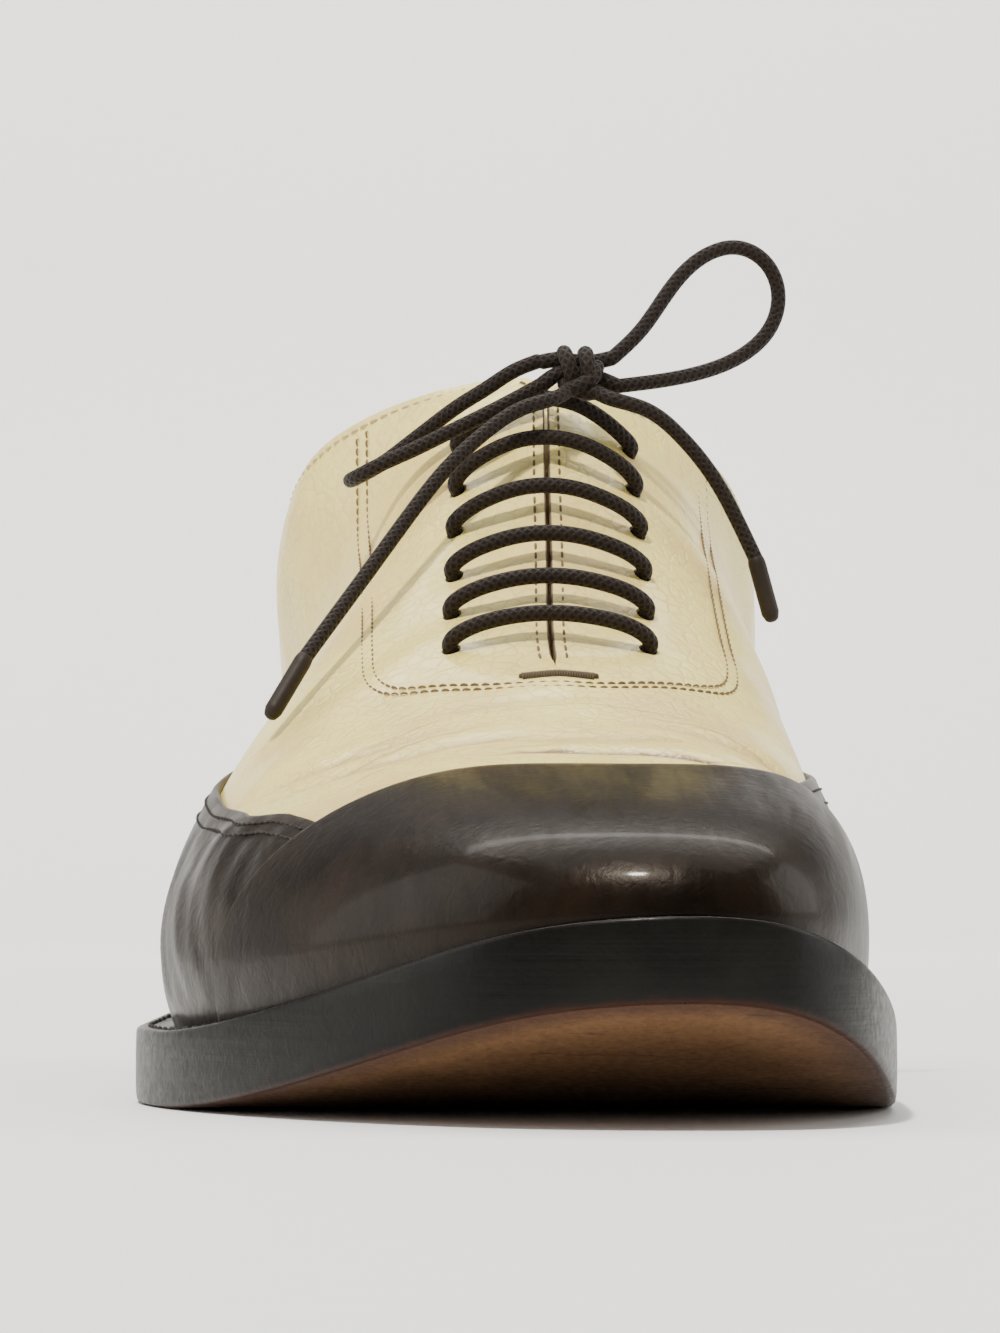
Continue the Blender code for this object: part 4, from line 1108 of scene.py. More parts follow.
@dataclass(frozen=True)
class CreamLeather:
    """Polished cream leather, faintly crackled, tan in worn patches, with painted shade darkening its
    creases.
    """

    base: Triple = (0.880, 0.735, 0.215)
    blush: Triple = (0.745, 0.545, 0.185)
    # Dark tone of the crackle lines, and the painted shade of the creases and wrinkles
    soil_and_painted_shade: Triple = (0.330, 0.215, 0.105)
    # Fine wrinkles in plan, in millimetres: middle u and w, slope, bow, half reach, width, strength of their
    # painted shade and dip
    wrinkle_rows: tuple[tuple[float, ...], ...] = (
        (223.3, 10.0, 0.38, 0.0158, 20.0, 0.62, 1.60),
        (217.5, -1.0, -0.05, 0.0100, 9.0, 0.35, 0.40),
        (226.0, 16.0, 0.10, 0.0100, 7.0, 0.35, 0.35),
        (208.0, -24.0, -0.30, 0.0060, 12.0, 0.40, 0.45),
        (214.5, -21.0, -0.34, 0.0060, 10.0, 0.35, 0.35),
        (201.0, -27.0, -0.22, 0.0060, 9.0, 0.35, 0.35),
        (203.0, 20.0, 0.16, 0.0060, 9.0, 0.35, 0.35),
        (199.0, 4.0, 0.02, 0.0040, 14.0, 0.30, 0.25),
    )

    @staticmethod
    def wrinkle(s: Shader, u: float, w: float, slope: float, bow: float, reach: float,
                width: float) -> Socket:
        """Return a fine line across the vamp, 1 along its middle and 0 away from it.

        Args:
            s: The shader to lay it in.
            u: Middle of the line from the back of the last, in millimetres.
            w: Middle of the line to the medial side.
            slope: Rise of u over w at the middle.
            bow: How fast that slope grows.
            reach: Half the line's length.
            width: Half the line's width.

        Returns:
            The strength.
        """
        x, y, _ = s.split(s.object_place)
        wander = s.spread(s.noise(150, 3), 0.0, 1.0, -1.4, 1.4)
        across = s.sum("MULTIPLY_ADD", x, 1 / MILLIMETRE, -w)
        along = s.sum("MULTIPLY_ADD", y, -1 / MILLIMETRE, LAST.heel_length / 2 / MILLIMETRE - u)
        line = s.sum("MULTIPLY", across, s.sum("ADD", s.sum("MULTIPLY", across, bow), slope))
        off = s.sum("ABSOLUTE", s.sum("ADD", s.sum("SUBTRACT", along, line), wander), 0.0)
        faded = s.spread(s.sum("ABSOLUTE", across, 0.0), reach * 0.7, reach * 1.15, 1.0, 0.0)
        return s.sum("MULTIPLY", s.spread(off, 0.0, width * 2, 1.0, 0.0), faded)

    def make(self) -> Material:
        """Lay out the material's nodes.

        Returns:
            The material.
        """
        s = Shader("cream_leather")
        patches = s.spread(s.noise(42, 4, 0.6), 0.42, 0.68)
        mottles = s.spread(s.noise(260, 5, 0.4), 0.35, 0.75)
        color = s.mix(s.sum("MULTIPLY", patches, 0.75), self.base, self.blush)
        color = s.mix(s.sum("MULTIPLY", mottles, 0.22), color, self.blush)
        cells = s.cracks(430, 0.9)
        lines = s.spread(cells, 0.0, 0.07, 1.0, 0.0)
        shown = s.spread(s.noise(60, 3), 0.45, 0.65, 0.05, 0.34)
        color = s.mix(s.sum("MULTIPLY", lines, shown), color, self.soil_and_painted_shade)
        # Painted shade darkens the creases, the deeper ones more
        color = s.mix(s.sum("MULTIPLY", s.value("crease"), 0.55), color, self.soil_and_painted_shade)
        wrinkles = [self.wrinkle(s, *row[:-1]) for row in self.wrinkle_rows]
        # Painted shade along the middle of each fine wrinkle
        for wrinkle, row in zip(wrinkles, self.wrinkle_rows):
            color = s.mix(s.sum("MULTIPLY", wrinkle, row[-1]), color, self.soil_and_painted_shade)
        grain = s.noise(1900, 4)
        pores = s.noise(620, 4, 0.5)
        lows = [(wrinkle, -0.0005 * row[-1]) for wrinkle, row in zip(wrinkles, self.wrinkle_rows)]
        s.bumps([(s.spread(cells, 0.0, 0.16), 0.00009), (pores, 0.00016), (grain, 0.00004)] + lows)
        rough = s.spread(s.noise(110, 4), 0.3, 0.7, 0.27, 0.43)
        return s.finish(color, rough, Coat_Weight=0.22, Coat_Roughness=0.16, Specular_IOR_Level=0.5)


@dataclass(frozen=True)
class BrownLeather:
    """Dark brown polished leather, with brush strokes in its shine."""

    base: Triple = (0.0036, 0.0018, 0.0011)
    worn: Triple = (0.0230, 0.0135, 0.0080)

    def make(self) -> Material:
        """Lay out the material's nodes.

        Returns:
            The material.
        """
        s = Shader("brown_leather")
        patches = s.spread(s.noise(55, 4, 0.8), 0.38, 0.72)
        strokes = s.noise(1.0, 4, 0.3, s.stretched((420, 60, 46)))
        color = s.mix(s.sum("MULTIPLY", patches, 0.50), self.base, self.worn)
        color = s.mix(s.sum("MULTIPLY", s.value("wear"), 0.55), color, self.worn)
        fine = s.noise(1300, 4)
        pores = s.noise(480, 4, 0.6)
        s.bumps([(pores, 0.00010), (strokes, 0.00004), (fine, 0.00003)])
        rough = s.spread(strokes, 0.3, 0.7, 0.30, 0.44)
        return s.finish(color, rough, Coat_Weight=0.07, Coat_Roughness=0.09, Specular_IOR_Level=0.11,
                        Specular_Tint=(1.0, 0.84, 0.68, 1.0))


@dataclass(frozen=True)
class WaxedEdge:
    """The dark waxed edge of a leather sole, redder along its lower border."""

    base: Triple = (0.0050, 0.0043, 0.0037)
    grey: Triple = (0.0145, 0.0142, 0.0122)
    red: Triple = (0.0360, 0.0120, 0.0055)

    def make(self) -> Material:
        """Lay out the material's nodes.

        Returns:
            The material.
        """
        s = Shader("sole_edge")
        patches = s.spread(s.noise(50, 4, 0.5), 0.4, 0.7)
        color = s.mix(s.sum("MULTIPLY", patches, 0.5), self.base, self.grey)
        ragged = s.sum("ADD", s.value("band"), s.spread(s.noise(300, 4), 0.0, 1.0, -0.12, 0.12))
        color = s.mix(s.spread(ragged, 0.04, 0.26, 0.9, 0.0), color, self.red)
        layers = s.noise(1.0, 3, 0.1, s.stretched((14, 14, 1500)))
        scuffs = s.noise(700, 5, 0.8)
        s.bumps([(layers, 0.00005), (scuffs, 0.00005)])
        rough = s.spread(scuffs, 0.3, 0.7, 0.28, 0.42)
        return s.finish(color, rough, Coat_Weight=0.02, Coat_Roughness=0.15, Specular_IOR_Level=0.09)


@dataclass(frozen=True)
class SoleLeather:
    """Tan sole leather, scuffed, with small dark nicks and a dark border."""

    base: Triple = (0.118, 0.055, 0.021)
    pale: Triple = (0.185, 0.098, 0.043)
    dark: Triple = (0.048, 0.020, 0.010)

    def make(self) -> Material:
        """Lay out the material's nodes.

        Returns:
            The material.
        """
        s = Shader("sole_leather")
        patches = s.spread(s.noise(45, 5, 0.6), 0.35, 0.7)
        color = s.mix(patches, self.base, self.pale)
        fibres = s.noise(900, 5, 0.4)
        color = s.mix(s.spread(fibres, 0.45, 0.75, 0.0, 0.45), color, self.dark)
        scratches = s.spread(s.noise(1.0, 4, 1.2, s.stretched((60, 420, 200))), 0.66, 0.70)
        color = s.mix(s.sum("MULTIPLY", scratches, 0.7), color, self.dark)
        ragged = s.sum("ADD", s.value("band"), s.spread(s.noise(260, 4), 0.0, 1.0, -0.15, 0.15))
        color = s.mix(s.spread(ragged, 0.10, 0.55, 0.85, 0.0), color, self.dark)
        s.bumps([(scratches, -0.00012), (fibres, 0.00008)])
        return s.finish(color, s.spread(fibres, 0.3, 0.7, 0.5, 0.72), Specular_IOR_Level=0.35)


@dataclass(frozen=True)
class PlainFinish:
    """A finish of one colour with mottling and grain."""

    name: str
    base: Triple
    mottle: Triple
    roughness: tuple[float, float]
    grain: float = 900.0
    grain_depth: float = 0.00006
    sheen: float = 0.0
    specular: float = 0.5

    def make(self) -> Material:
        """Lay out the material's nodes.

        Returns:
            The material.
        """
        s = Shader(self.name)
        color = s.mix(s.spread(s.noise(120, 5, 0.4), 0.35, 0.7), self.base, self.mottle)
        grain = s.noise(self.grain, 5, 0.3)
        s.bumps([(grain, self.grain_depth)])
        rough = s.spread(grain, 0.3, 0.7, *self.roughness)
        return s.finish(color, rough, Sheen_Weight=self.sheen, Sheen_Roughness=0.5,
                        Specular_IOR_Level=self.specular)


@dataclass(frozen=True)
class WaxedBraid:
    """A thin waxed cotton braid, its threads crossing round the cord."""

    base: Triple = (0.0090, 0.0053, 0.0037)
    worn: Triple = (0.0260, 0.0170, 0.0120)
    threads: int = 6
    pitch: float = 1.9

    def make(self) -> Material:
        """Lay out the material's nodes.

        Returns:
            The material.
        """
        s = Shader("lace_cotton")
        x, y, _ = s.split(s.node("ShaderNodeUVMap", {}, uv_map="braid").outputs["UV"])
        round_cord = s.sum("MULTIPLY", x, 2 * math.pi * self.threads)
        along = s.sum("MULTIPLY", y, 2 * math.pi * self.pitch)
        one = s.sum("SINE", s.sum("ADD", round_cord, along), 0.0)
        two = s.sum("SINE", s.sum("SUBTRACT", round_cord, along), 0.0)
        weave = s.spread(s.sum("MAXIMUM", one, two), -0.4, 1.0)
        fuzz = s.noise(2600, 3)
        color = s.mix(s.sum("MULTIPLY", weave, 0.55), self.base, self.worn)
        s.bumps([(weave, 0.00013), (fuzz, 0.00004)])
        return s.finish(color, s.spread(weave, 0.0, 1.0, 0.72, 0.50), Sheen_Weight=0.05,
                        Sheen_Roughness=0.4, Specular_IOR_Level=0.16)


class Finish(Enum):
    """The finishes of the shoe and the studio."""

    CREAM = CreamLeather()
    BROWN = BrownLeather()
    SOLE_EDGE = WaxedEdge()
    SOLE = SoleLeather()
    LACE = WaxedBraid()
    LINING = PlainFinish("lining_leather", (0.560, 0.430, 0.270), (0.470, 0.340, 0.200), (0.55, 0.72))
    INSOLE = PlainFinish("insole_leather", (0.520, 0.370, 0.220), (0.400, 0.260, 0.140), (0.50, 0.68))
    CUT_EDGE = PlainFinish("cut_edge", (0.130, 0.085, 0.050), (0.220, 0.150, 0.095), (0.50, 0.65))
    RUBBER = PlainFinish("heel_rubber", (0.011, 0.011, 0.011), (0.018, 0.0175, 0.017), (0.55, 0.75), 600.0,
                         0.00006, 0.0, 0.25)
    AGLET = PlainFinish("aglet_plastic", (0.024, 0.0165, 0.0110), (0.014, 0.0095, 0.0066), (0.50, 0.62),
                        1500.0, 0.00002, 0.0, 0.22)
    THREAD = PlainFinish("tan_thread", (0.180, 0.122, 0.062), (0.130, 0.085, 0.042), (0.60, 0.75),
                         2400.0, 0.00004, 0.05, 0.3)
    TACK_THREAD = PlainFinish("tack_thread", (0.082, 0.058, 0.028), (0.058, 0.040, 0.019), (0.60, 0.75),
                              2400.0, 0.00004, 0.03, 0.25)
    DARK_THREAD = PlainFinish("dark_thread", (0.011, 0.0065, 0.0046), (0.019, 0.0125, 0.0090), (0.5, 0.65),
                              2400.0, 0.00004, 0.03, 0.2)
    CREAM_THREAD = PlainFinish("cream_thread", (0.640, 0.520, 0.290), (0.560, 0.440, 0.240), (0.55, 0.70),
                               2400.0, 0.00004, 0.1)
    FLOOR = PlainFinish("studio_floor", (0.90, 0.90, 0.89), (0.89, 0.89, 0.88), (0.60, 0.70), 400.0, 0.00001)

    @functools.cache
    def material(self) -> Material:
        """Return this finish's material, made at its first use."""
        return self.value.make()


class Gauge(Enum):
    """How long, how far apart and how thick, by radius, the stitches of a row are."""

    FACING = (0.0013, 0.0003, 0.00017)
    EDGE = (0.0017, 0.0005, 0.00020)
    FOXING = (0.0015, 0.0004, 0.00020)
    WELT = (0.0028, 0.0008, 0.00030)


@dataclass
class StitchRow:
    """A row of sewn stitches along a path over leather."""

    path: Array
    normals: Array
    gauge: Gauge
    sides: int = 6
    # Share of the stitch's length, share of its radius, rise in radii
    stations: tuple[Triple, ...] = (
        (0.0, 0.35, -0.9), (0.14, 0.85, 0.1), (0.5, 1.0, 0.55), (0.86, 0.85, 0.1), (1.0, 0.35, -0.9))

    def mesh(self) -> tuple[Array, Faces]:
        """Return the vertices and faces of all stitches of the row.

        Returns:
            Points and corner numbers.
        """
        length, gap, radius = self.gauge.value
        reach = arc_lengths(self.path)
        pitch = length + gap
        count = int(reach[-1] // pitch)
        if count < 1:
            return np.zeros((0, 3)), []
        starts = np.arange(count) * pitch + (reach[-1] - count * pitch) / 2
        vertices, faces = [], []
        sides, stations = self.sides, self.stations
        turns = np.linspace(0, 2 * math.pi, sides, endpoint=False)
        for n, begin in enumerate(starts):
            at = begin + length * np.array([share for share, _, _ in stations])
            places = np.column_stack([np.interp(at, reach, self.path[:, k]) for k in range(3)])
            up = unit(np.column_stack([np.interp(at, reach, self.normals[:, k]) for k in range(3)]))
            along = unit(np.broadcast_to(places[-1] - places[0], places.shape))
            across = unit(np.cross(along, up))
            for k, (_, size, rise) in enumerate(stations):
                centre = places[k] + up[k] * rise * radius
                ring = across[k] * np.cos(turns)[:, None] + up[k] * np.sin(turns)[:, None]
                vertices.append(centre + ring * radius * size)
            base = n * sides * len(stations)
            for k in range(len(stations) - 1):
                faces += ring_faces(base + k * sides, base + (k + 1) * sides, sides)
            faces.append(tuple(base + j for j in range(sides))[::-1])
            faces.append(tuple(base + (len(stations) - 1) * sides + j for j in range(sides)))
        return np.concatenate(vertices), faces


def stitch_piece(name: str, rows: Sequence[StitchRow], finish: Finish, slot: str) -> Piece:
    """Make one piece of several rows of stitches.

    Args:
        name: The piece's name.
        rows: Rows of the piece.
        finish: The thread.
        slot: The record's material slot; not used.

    Returns:
        The new object.
    """
    vertices, faces, base = [], [], 0
    for row in rows:
        points, corners = row.mesh()
        vertices.append(points)
        faces += [tuple(base + n for n in face) for face in corners]
        base += len(points)
    return Workshop.piece(name, np.concatenate(vertices), faces, [finish], slot, merge=False)


def grid_faces(rows: int, across: int, base: int, turn: int) -> Faces:
    """Return the faces between a grid's points."""
    starts = (base + i * across + j for i in range(rows - 1) for j in range(across - 1))
    return [(a, a + 1, a + across + 1, a + across)[::turn] for a in starts]


def skin_path(side: int, p: Array, v: Array, lift: float) -> tuple[Array, Array]:
    """Return points over the skin and their outward directions, in the row's axes."""
    normals = direction_to_world(LAST.normal(side, p, v))
    return to_world(LAST.skin(side, p, v)) + normals * lift, normals


def over_skin(side: Array, p: Array, v: Array) -> tuple[Array, Array]:
    """Return points on the skin and their outward directions, each on a side of its own.

    Args:
        side: LATERAL or MEDIAL for each point.
        p: Places round the feather line.
        v: Places up the columns.

    Returns:
        Points and directions.
    """
    path, normals = np.zeros((2, len(p), 3))
    for name in (LATERAL, MEDIAL):
        mine = side == name
        path[mine], normals[mine] = skin_path(name, p[mine], v[mine], 0.0)
    return path, normals


def inset_v(side: int, p: Array, v: Array, distance: float) -> Array:
    """Return v a distance further down each column.

    Args:
        side: LATERAL or MEDIAL.
        p: Places round the feather line.
        v: Places up the columns.
        distance: How far down.

    Returns:
        The new v.
    """
    step = 1e-3
    high = LAST.skin(side, p, v)
    low = LAST.skin(side, p, np.maximum(v - step, 0))
    speed = np.linalg.norm(high - low, axis=-1) / np.maximum(v - np.maximum(v - step, 0), 1e-9)
    return np.maximum(v - distance / np.maximum(speed, 1e-6), 0)


@dataclass
class Eyelets:
    """The punched eyelets on both facings."""

    rows: tuple[float, ...] = (0.612, 0.583, 0.554, 0.524, 0.494, 0.465)
    setback: float = 0.0135
    radius: float = 0.0014

    def place(self, side: int, row: float, shift: float = 0.0) -> tuple[float, float]:
        """Return p and v of a place on the eyelet line, row counted from 0 at the toe.

        Args:
            side: LATERAL or MEDIAL.
            row: The row, or a share between two rows.
            shift: How far to move away from the throat.

        Returns:
            Both places.
        """
        u_row = float(np.interp(row, range(len(self.rows)), self.rows))
        p = bisect(lambda q: even_curve(HEADS["p"], HEADS["u"], q) > u_row,
                   np.array([LAST.fan_end]), np.array([LAST.throat_top]))
        edge = LAST.skin(side, p, np.ones(1))
        reach = self.setback + shift
        v = bisect(lambda q: np.linalg.norm(LAST.skin(side, p, q) - edge, axis=-1) > reach,
                   np.array([0.3]), np.array([1.0]))
        return float(p[0]), float(v[0])

    def at(self, side: int, row: float, lift: float, shift: float = 0.0) -> Array:
        """Return a point over or under the leather on the eyelet line."""
        p, v = self.place(side, row, shift)
        return skin_path(side, np.array([p]), np.array([v]), lift)[0][0]

    def punch(self, wall: float) -> Piece:
        """Return a cutter with one round rod for each eyelet.

        Args:
            wall: Thickness of the leather.

        Returns:
            The cutter.
        """
        work = bmesh.new()
        sides = 20
        for side in (LATERAL, MEDIAL):
            for row in range(len(self.rows)):
                p, v = self.place(side, row)
                centre, normal = skin_path(side, np.array([p]), np.array([v]), -wall / 2)
                first = unit(np.cross(normal[0], (0.0, 1.0, 0.0)))
                second = np.cross(normal[0], first)
                loops = []
                for end in (-2 * wall, 2 * wall):
                    loop = []
                    for k in range(sides):
                        angle = 2 * math.pi * k / sides
                        arm = first * math.cos(angle) + second * math.sin(angle)
                        loop.append(work.verts.new(centre[0] + normal[0] * end + arm * self.radius))
                    loops.append(loop)
                for k in range(sides):
                    m = (k + 1) % sides
                    work.faces.new((loops[0][k], loops[0][m], loops[1][m], loops[1][k]))
                work.faces.new(loops[0][::-1])
                work.faces.new(loops[1])
        data = bpy.data.meshes.new("eyelet_punch")
        bmesh.ops.recalc_face_normals(work, faces=work.faces)
        work.to_mesh(data)
        work.free()
        made = bpy.data.objects.new("eyelet_punch", data)
        bpy.context.scene.collection.objects.link(made)
        return made


@dataclass
class Upper:
    """The cream leather body, from the feather line to the throat and the topline."""

    wall: float = 0.002
    toe_columns: int = 84
    throat_columns: int = 62
    collar_columns: int = 56
    rows: int = 84
    edge_reach: float = 0.00032
    undulation: float = 0.00012
    # The soft ridges on both sides of a crease, in its widths and depths
    lip_place: float = 1.7
    lip_width: float = 1.3
    lip_share: float = 0.45
    # Depth in millimetres at which a crease gets its full painted shade
    full_crease: float = 0.5
    seam_fade: float = 0.10
    throat_fade: float = 0.03
    eyelets: Eyelets = field(default_factory=Eyelets)

    def places(self) -> Array:
        """Return the columns' places, from the lateral heel round the toe.

        Returns:
            Places, negative on the lateral side.
        """
        p = np.concatenate((np.linspace(0, LAST.throat_bottom, self.toe_columns),
                            np.linspace(LAST.throat_bottom, LAST.throat_top, self.throat_columns)[1:],
                            np.linspace(LAST.throat_top, 1, self.collar_columns)[1:]))
        return np.concatenate((-p[::-1], p[1:]))

    def relief(self, sheet: Sheet) -> tuple[Array, Array]:
        """Return how far the leather stands out of the last's surface, and how creased it is.

        Args:
            sheet: The patch of surface.

        Returns:
            Both grids.
        """
        u = (LAST.heel_length / 2 - sheet.points[..., 1]) / MILLIMETRE
        w = sheet.points[..., 0] / MILLIMETRE
        depth = np.zeros_like(u)
        for u0, w0, slope, bow, reach, deep, width in zip(*CREASES.values()):
            across = w - w0
            line = u0 + slope * across + bow * across ** 2
            fade = np.exp(-(across / reach) ** 4)
            near = (u - line) / width
            lips = [np.exp(-((near + turn * self.lip_place) / self.lip_width) ** 2) for turn in (-1, 1)]
            depth += deep * fade * (np.exp(-near ** 2) - self.lip_share * (lips[0] + lips[1]))
        waves = (np.sin(u * 0.23 + 1.3 * np.sin(w * 0.11)) + np.sin(w * 0.19 + u * 0.07 + 2.0)
                 + 0.6 * np.sin(u * 0.41 + w * 0.33))
        keep = np.ones_like(u)
        for side in (LATERAL, MEDIAL):
            mine = sheet.t <= 0 if side == LATERAL else sheet.t > 0
            p = np.abs(sheet.t[mine])
            seam = np.maximum(LAST.v_cap(side, p), LAST.v_foxing(side, p))[:, None]
            keep[mine] = smooth_step(0.0, self.seam_fade, sheet.v[mine] - seam)
        beside = (np.abs(sheet.t) > LAST.throat_bottom)[:, None]
        keep *= 1 - (1 - smooth_step(0.0, self.throat_fade, sheet.v[:, -1:] - sheet.v)) * beside
        move = (waves * self.undulation / MILLIMETRE - depth) * keep * MILLIMETRE
        return move, np.clip(depth * keep / self.full_crease, 0, 1)

    def build(self) -> Piece:
        """Make the upper with its eyelets punched.

        Returns:
            The new object.
        """
        t = self.places()
        sheet = Sheet(t, lambda side, p: 0 * p, LAST.v_collar, self.rows)
        move, crease = self.relief(sheet)
        p = np.abs(t)
        opened = smooth_step(LAST.throat_bottom, LAST.throat_bottom + LAST.throat_opening, p)
        layer = Layer(sheet, move, -self.wall, self.edge_reach * opened, p >= LAST.throat_bottom - 1e-9)
        vertices, faces, finishes = layer.mesh()
        count = len(vertices) // len(t)
        # Crease share for each vertex, which the cream finish turns into painted shade
        values = np.zeros((len(t), count))
        values[:, :self.rows] = crease
        materials = [Finish.CREAM, Finish.LINING, Finish.CUT_EDGE]
        made = Workshop.piece("upper_leather", vertices, faces, materials, "cream_leather", finishes,
                              values={"crease": values}, replaces=["upper"])
        self.cut(made)
        return made

    def cut(self, made: Piece) -> None:
        """Punch the eyelets through the leather.

        Args:
            made: The upper.
        """
        punch = self.eyelets.punch(self.wall)
        modifier = made.modifiers.new("eyelets", "BOOLEAN")
        modifier.operation = "DIFFERENCE"
        modifier.solver = "EXACT"
        modifier.object = punch
        graph = bpy.context.evaluated_depsgraph_get()
        mesh = bpy.data.meshes.new_from_object(made.evaluated_get(graph))
        made.modifiers.clear()
        old = made.data
        made.data = mesh
        bpy.data.meshes.remove(old)
        bpy.data.objects.remove(punch)
        log.info("upper_leather after punching: %d faces", len(mesh.polygons))


@dataclass
class Overlays:
    """The brown toe cap and the two foxings, and the rows that sew the foxings down."""

    cap_top: float = 0.0018
    foxing_top: float = 0.0013
    underside: float = 0.00005
    edge: float = 0.0006
    tuck: float = 0.0012
    seam_inset: float = 0.0016
    second_inset: float = 0.0038
    heel_gap: float = 0.0009
    rounding: float = 0.0026
    lateral_folds: float = 0.00016
    medial_folds: float = 0.00008
    bend_middle: float = 205.0
    bend_reach: float = 26.0
    row_start: float = 0.012
    row_end: float = 0.996
    back_row: float = 0.993

    def cap(self) -> Piece:
        """Make the toe cap.

        Returns:
            The new object.
        """
        ends = {side: LAST.seam_meeting(side)[1] for side in (LATERAL, MEDIAL)}
        t = np.concatenate((-np.linspace(ends[LATERAL], 0, 80), np.linspace(0, ends[MEDIAL], 80)[1:]))
        sheet = Sheet(t, lambda side, p: 0 * p, LAST.v_cap, 46)
        return self.dress("toe_cap_leather", sheet, self.cap_top, 0.9, "toe_cap")

    def dress(self, name: str, sheet: Sheet, outer: Array | float, worn_from: float, node: str) -> Piece:
        """Make an overlay of brown leather, worn along its upper edge.

        Args:
            name: The piece's name.
            sheet: The patch of surface.
            outer: How far its outside stands off the last.
            worn_from: Share of its height where the wear starts.
            node: The CAD node that it stands for.

        Returns:
            The new object.
        """
        vertices, faces, finishes = Layer(sheet, outer, self.underside, self.edge).mesh()
        columns = len(sheet.points)
        wear = np.zeros((columns, len(vertices) // columns))
        wear[:, :sheet.rows] = smooth_step(worn_from, 1.0, np.linspace(0, 1, sheet.rows))
        finishes = [0 if f == 2 else f for f in finishes]
        materials = [Finish.BROWN, Finish.LINING]
        return Workshop.piece(name, vertices, faces, materials, "brown_leather", finishes,
                              values={"wear": wear}, replaces=[node])

    def foxing(self, side: int) -> Piece:
        """Make the foxing of one side.

        Args:
            side: LATERAL or MEDIAL.

        Returns:
            The new object.
        """
        start, end = LAST.seam_meeting(side)
        near_back = 1 - self.heel_gap - self.rounding * np.array([1.0, 0.7, 0.45, 0.25, 0.1, 0.0])
        p = np.concatenate((np.linspace(start, end, 40), np.linspace(end, near_back[0], 170)[1:],
                            near_back[1:]))

        def low(which: int, places: Array) -> Array:
            """Return the foxing's lower line, tucked under the cap."""
            cap = LAST.v_cap(which, places)
            return np.where(places < end, inset_v(which, places, cap, self.tuck), 0.0)

        def high(which: int, places: Array) -> Array:
            """Return the foxing's upper line."""
            return np.maximum(LAST.v_foxing(which, places), low(which, places) + 1e-4)

        t = side * p
        sheet = Sheet(t, low, high, 30)
        back = np.clip((1 - self.heel_gap - p) / self.rounding, 0, 1)
        swell = np.sqrt(np.clip(1 - (1 - back) ** 2, 0, 1))[:, None]
        depth = self.lateral_folds if side == LATERAL else self.medial_folds
        outer = self.underside + (self.foxing_top - self.underside) * swell + depth * self.wrinkles(sheet)
        if side == LATERAL:
            sheet.points, sheet.normals = sheet.points[::-1], sheet.normals[::-1]
            sheet.v, sheet.t, outer = sheet.v[::-1], sheet.t[::-1], outer[::-1]
        name = "lateral" if side == LATERAL else "medial"
        return self.dress("foxing_leather_" + name, sheet, outer, 0.88, "foxing_" + name)

    def wrinkles(self, sheet: Sheet) -> Array:
        """Return long shallow folds where the foot bends, fading at the rims.

        Args:
            sheet: The patch of surface.

        Returns:
            How far the folds rise, 1 at most.
        """
        u = (LAST.heel_length / 2 - sheet.points[..., 1]) / MILLIMETRE
        z = sheet.points[..., 2] / MILLIMETRE
        folds = np.sin(u * 0.42 + z * 0.55 + 1.1 * np.sin(u * 0.13)) + 0.6 * np.sin(u * 0.9 + z * 0.8)
        bend = np.exp(-((u - self.bend_middle) / self.bend_reach) ** 2)
        rows = np.linspace(0, 1, sheet.rows)
        return folds * bend * smooth_step(0, 0.15, rows) * (1 - smooth_step(0.88, 1, rows))

    def stitches(self) -> list[Piece]:
        """Sew the foxings with dark thread.

        Returns:
            The new objects.
        """
        rows = []
        for side in (LATERAL, MEDIAL):
            for inset in (self.seam_inset, self.second_inset):
                p = np.linspace(LAST.seam_meeting(side)[0] + self.row_start, self.row_end, 420)
                v = inset_v(side, p, LAST.v_foxing(side, p), inset)
                rows.append(StitchRow(*skin_path(side, p, v, self.foxing_top), Gauge.FOXING))
            p = np.full(60, self.back_row)
            v = np.linspace(0.04, float(LAST.v_foxing(side, p[:1])[0]) - 0.05, len(p))
            rows.append(StitchRow(*skin_path(side, p, v, self.foxing_top), Gauge.FOXING))
        return [stitch_piece("overlay_stitches", rows, Finish.DARK_THREAD, "brown_leather")]


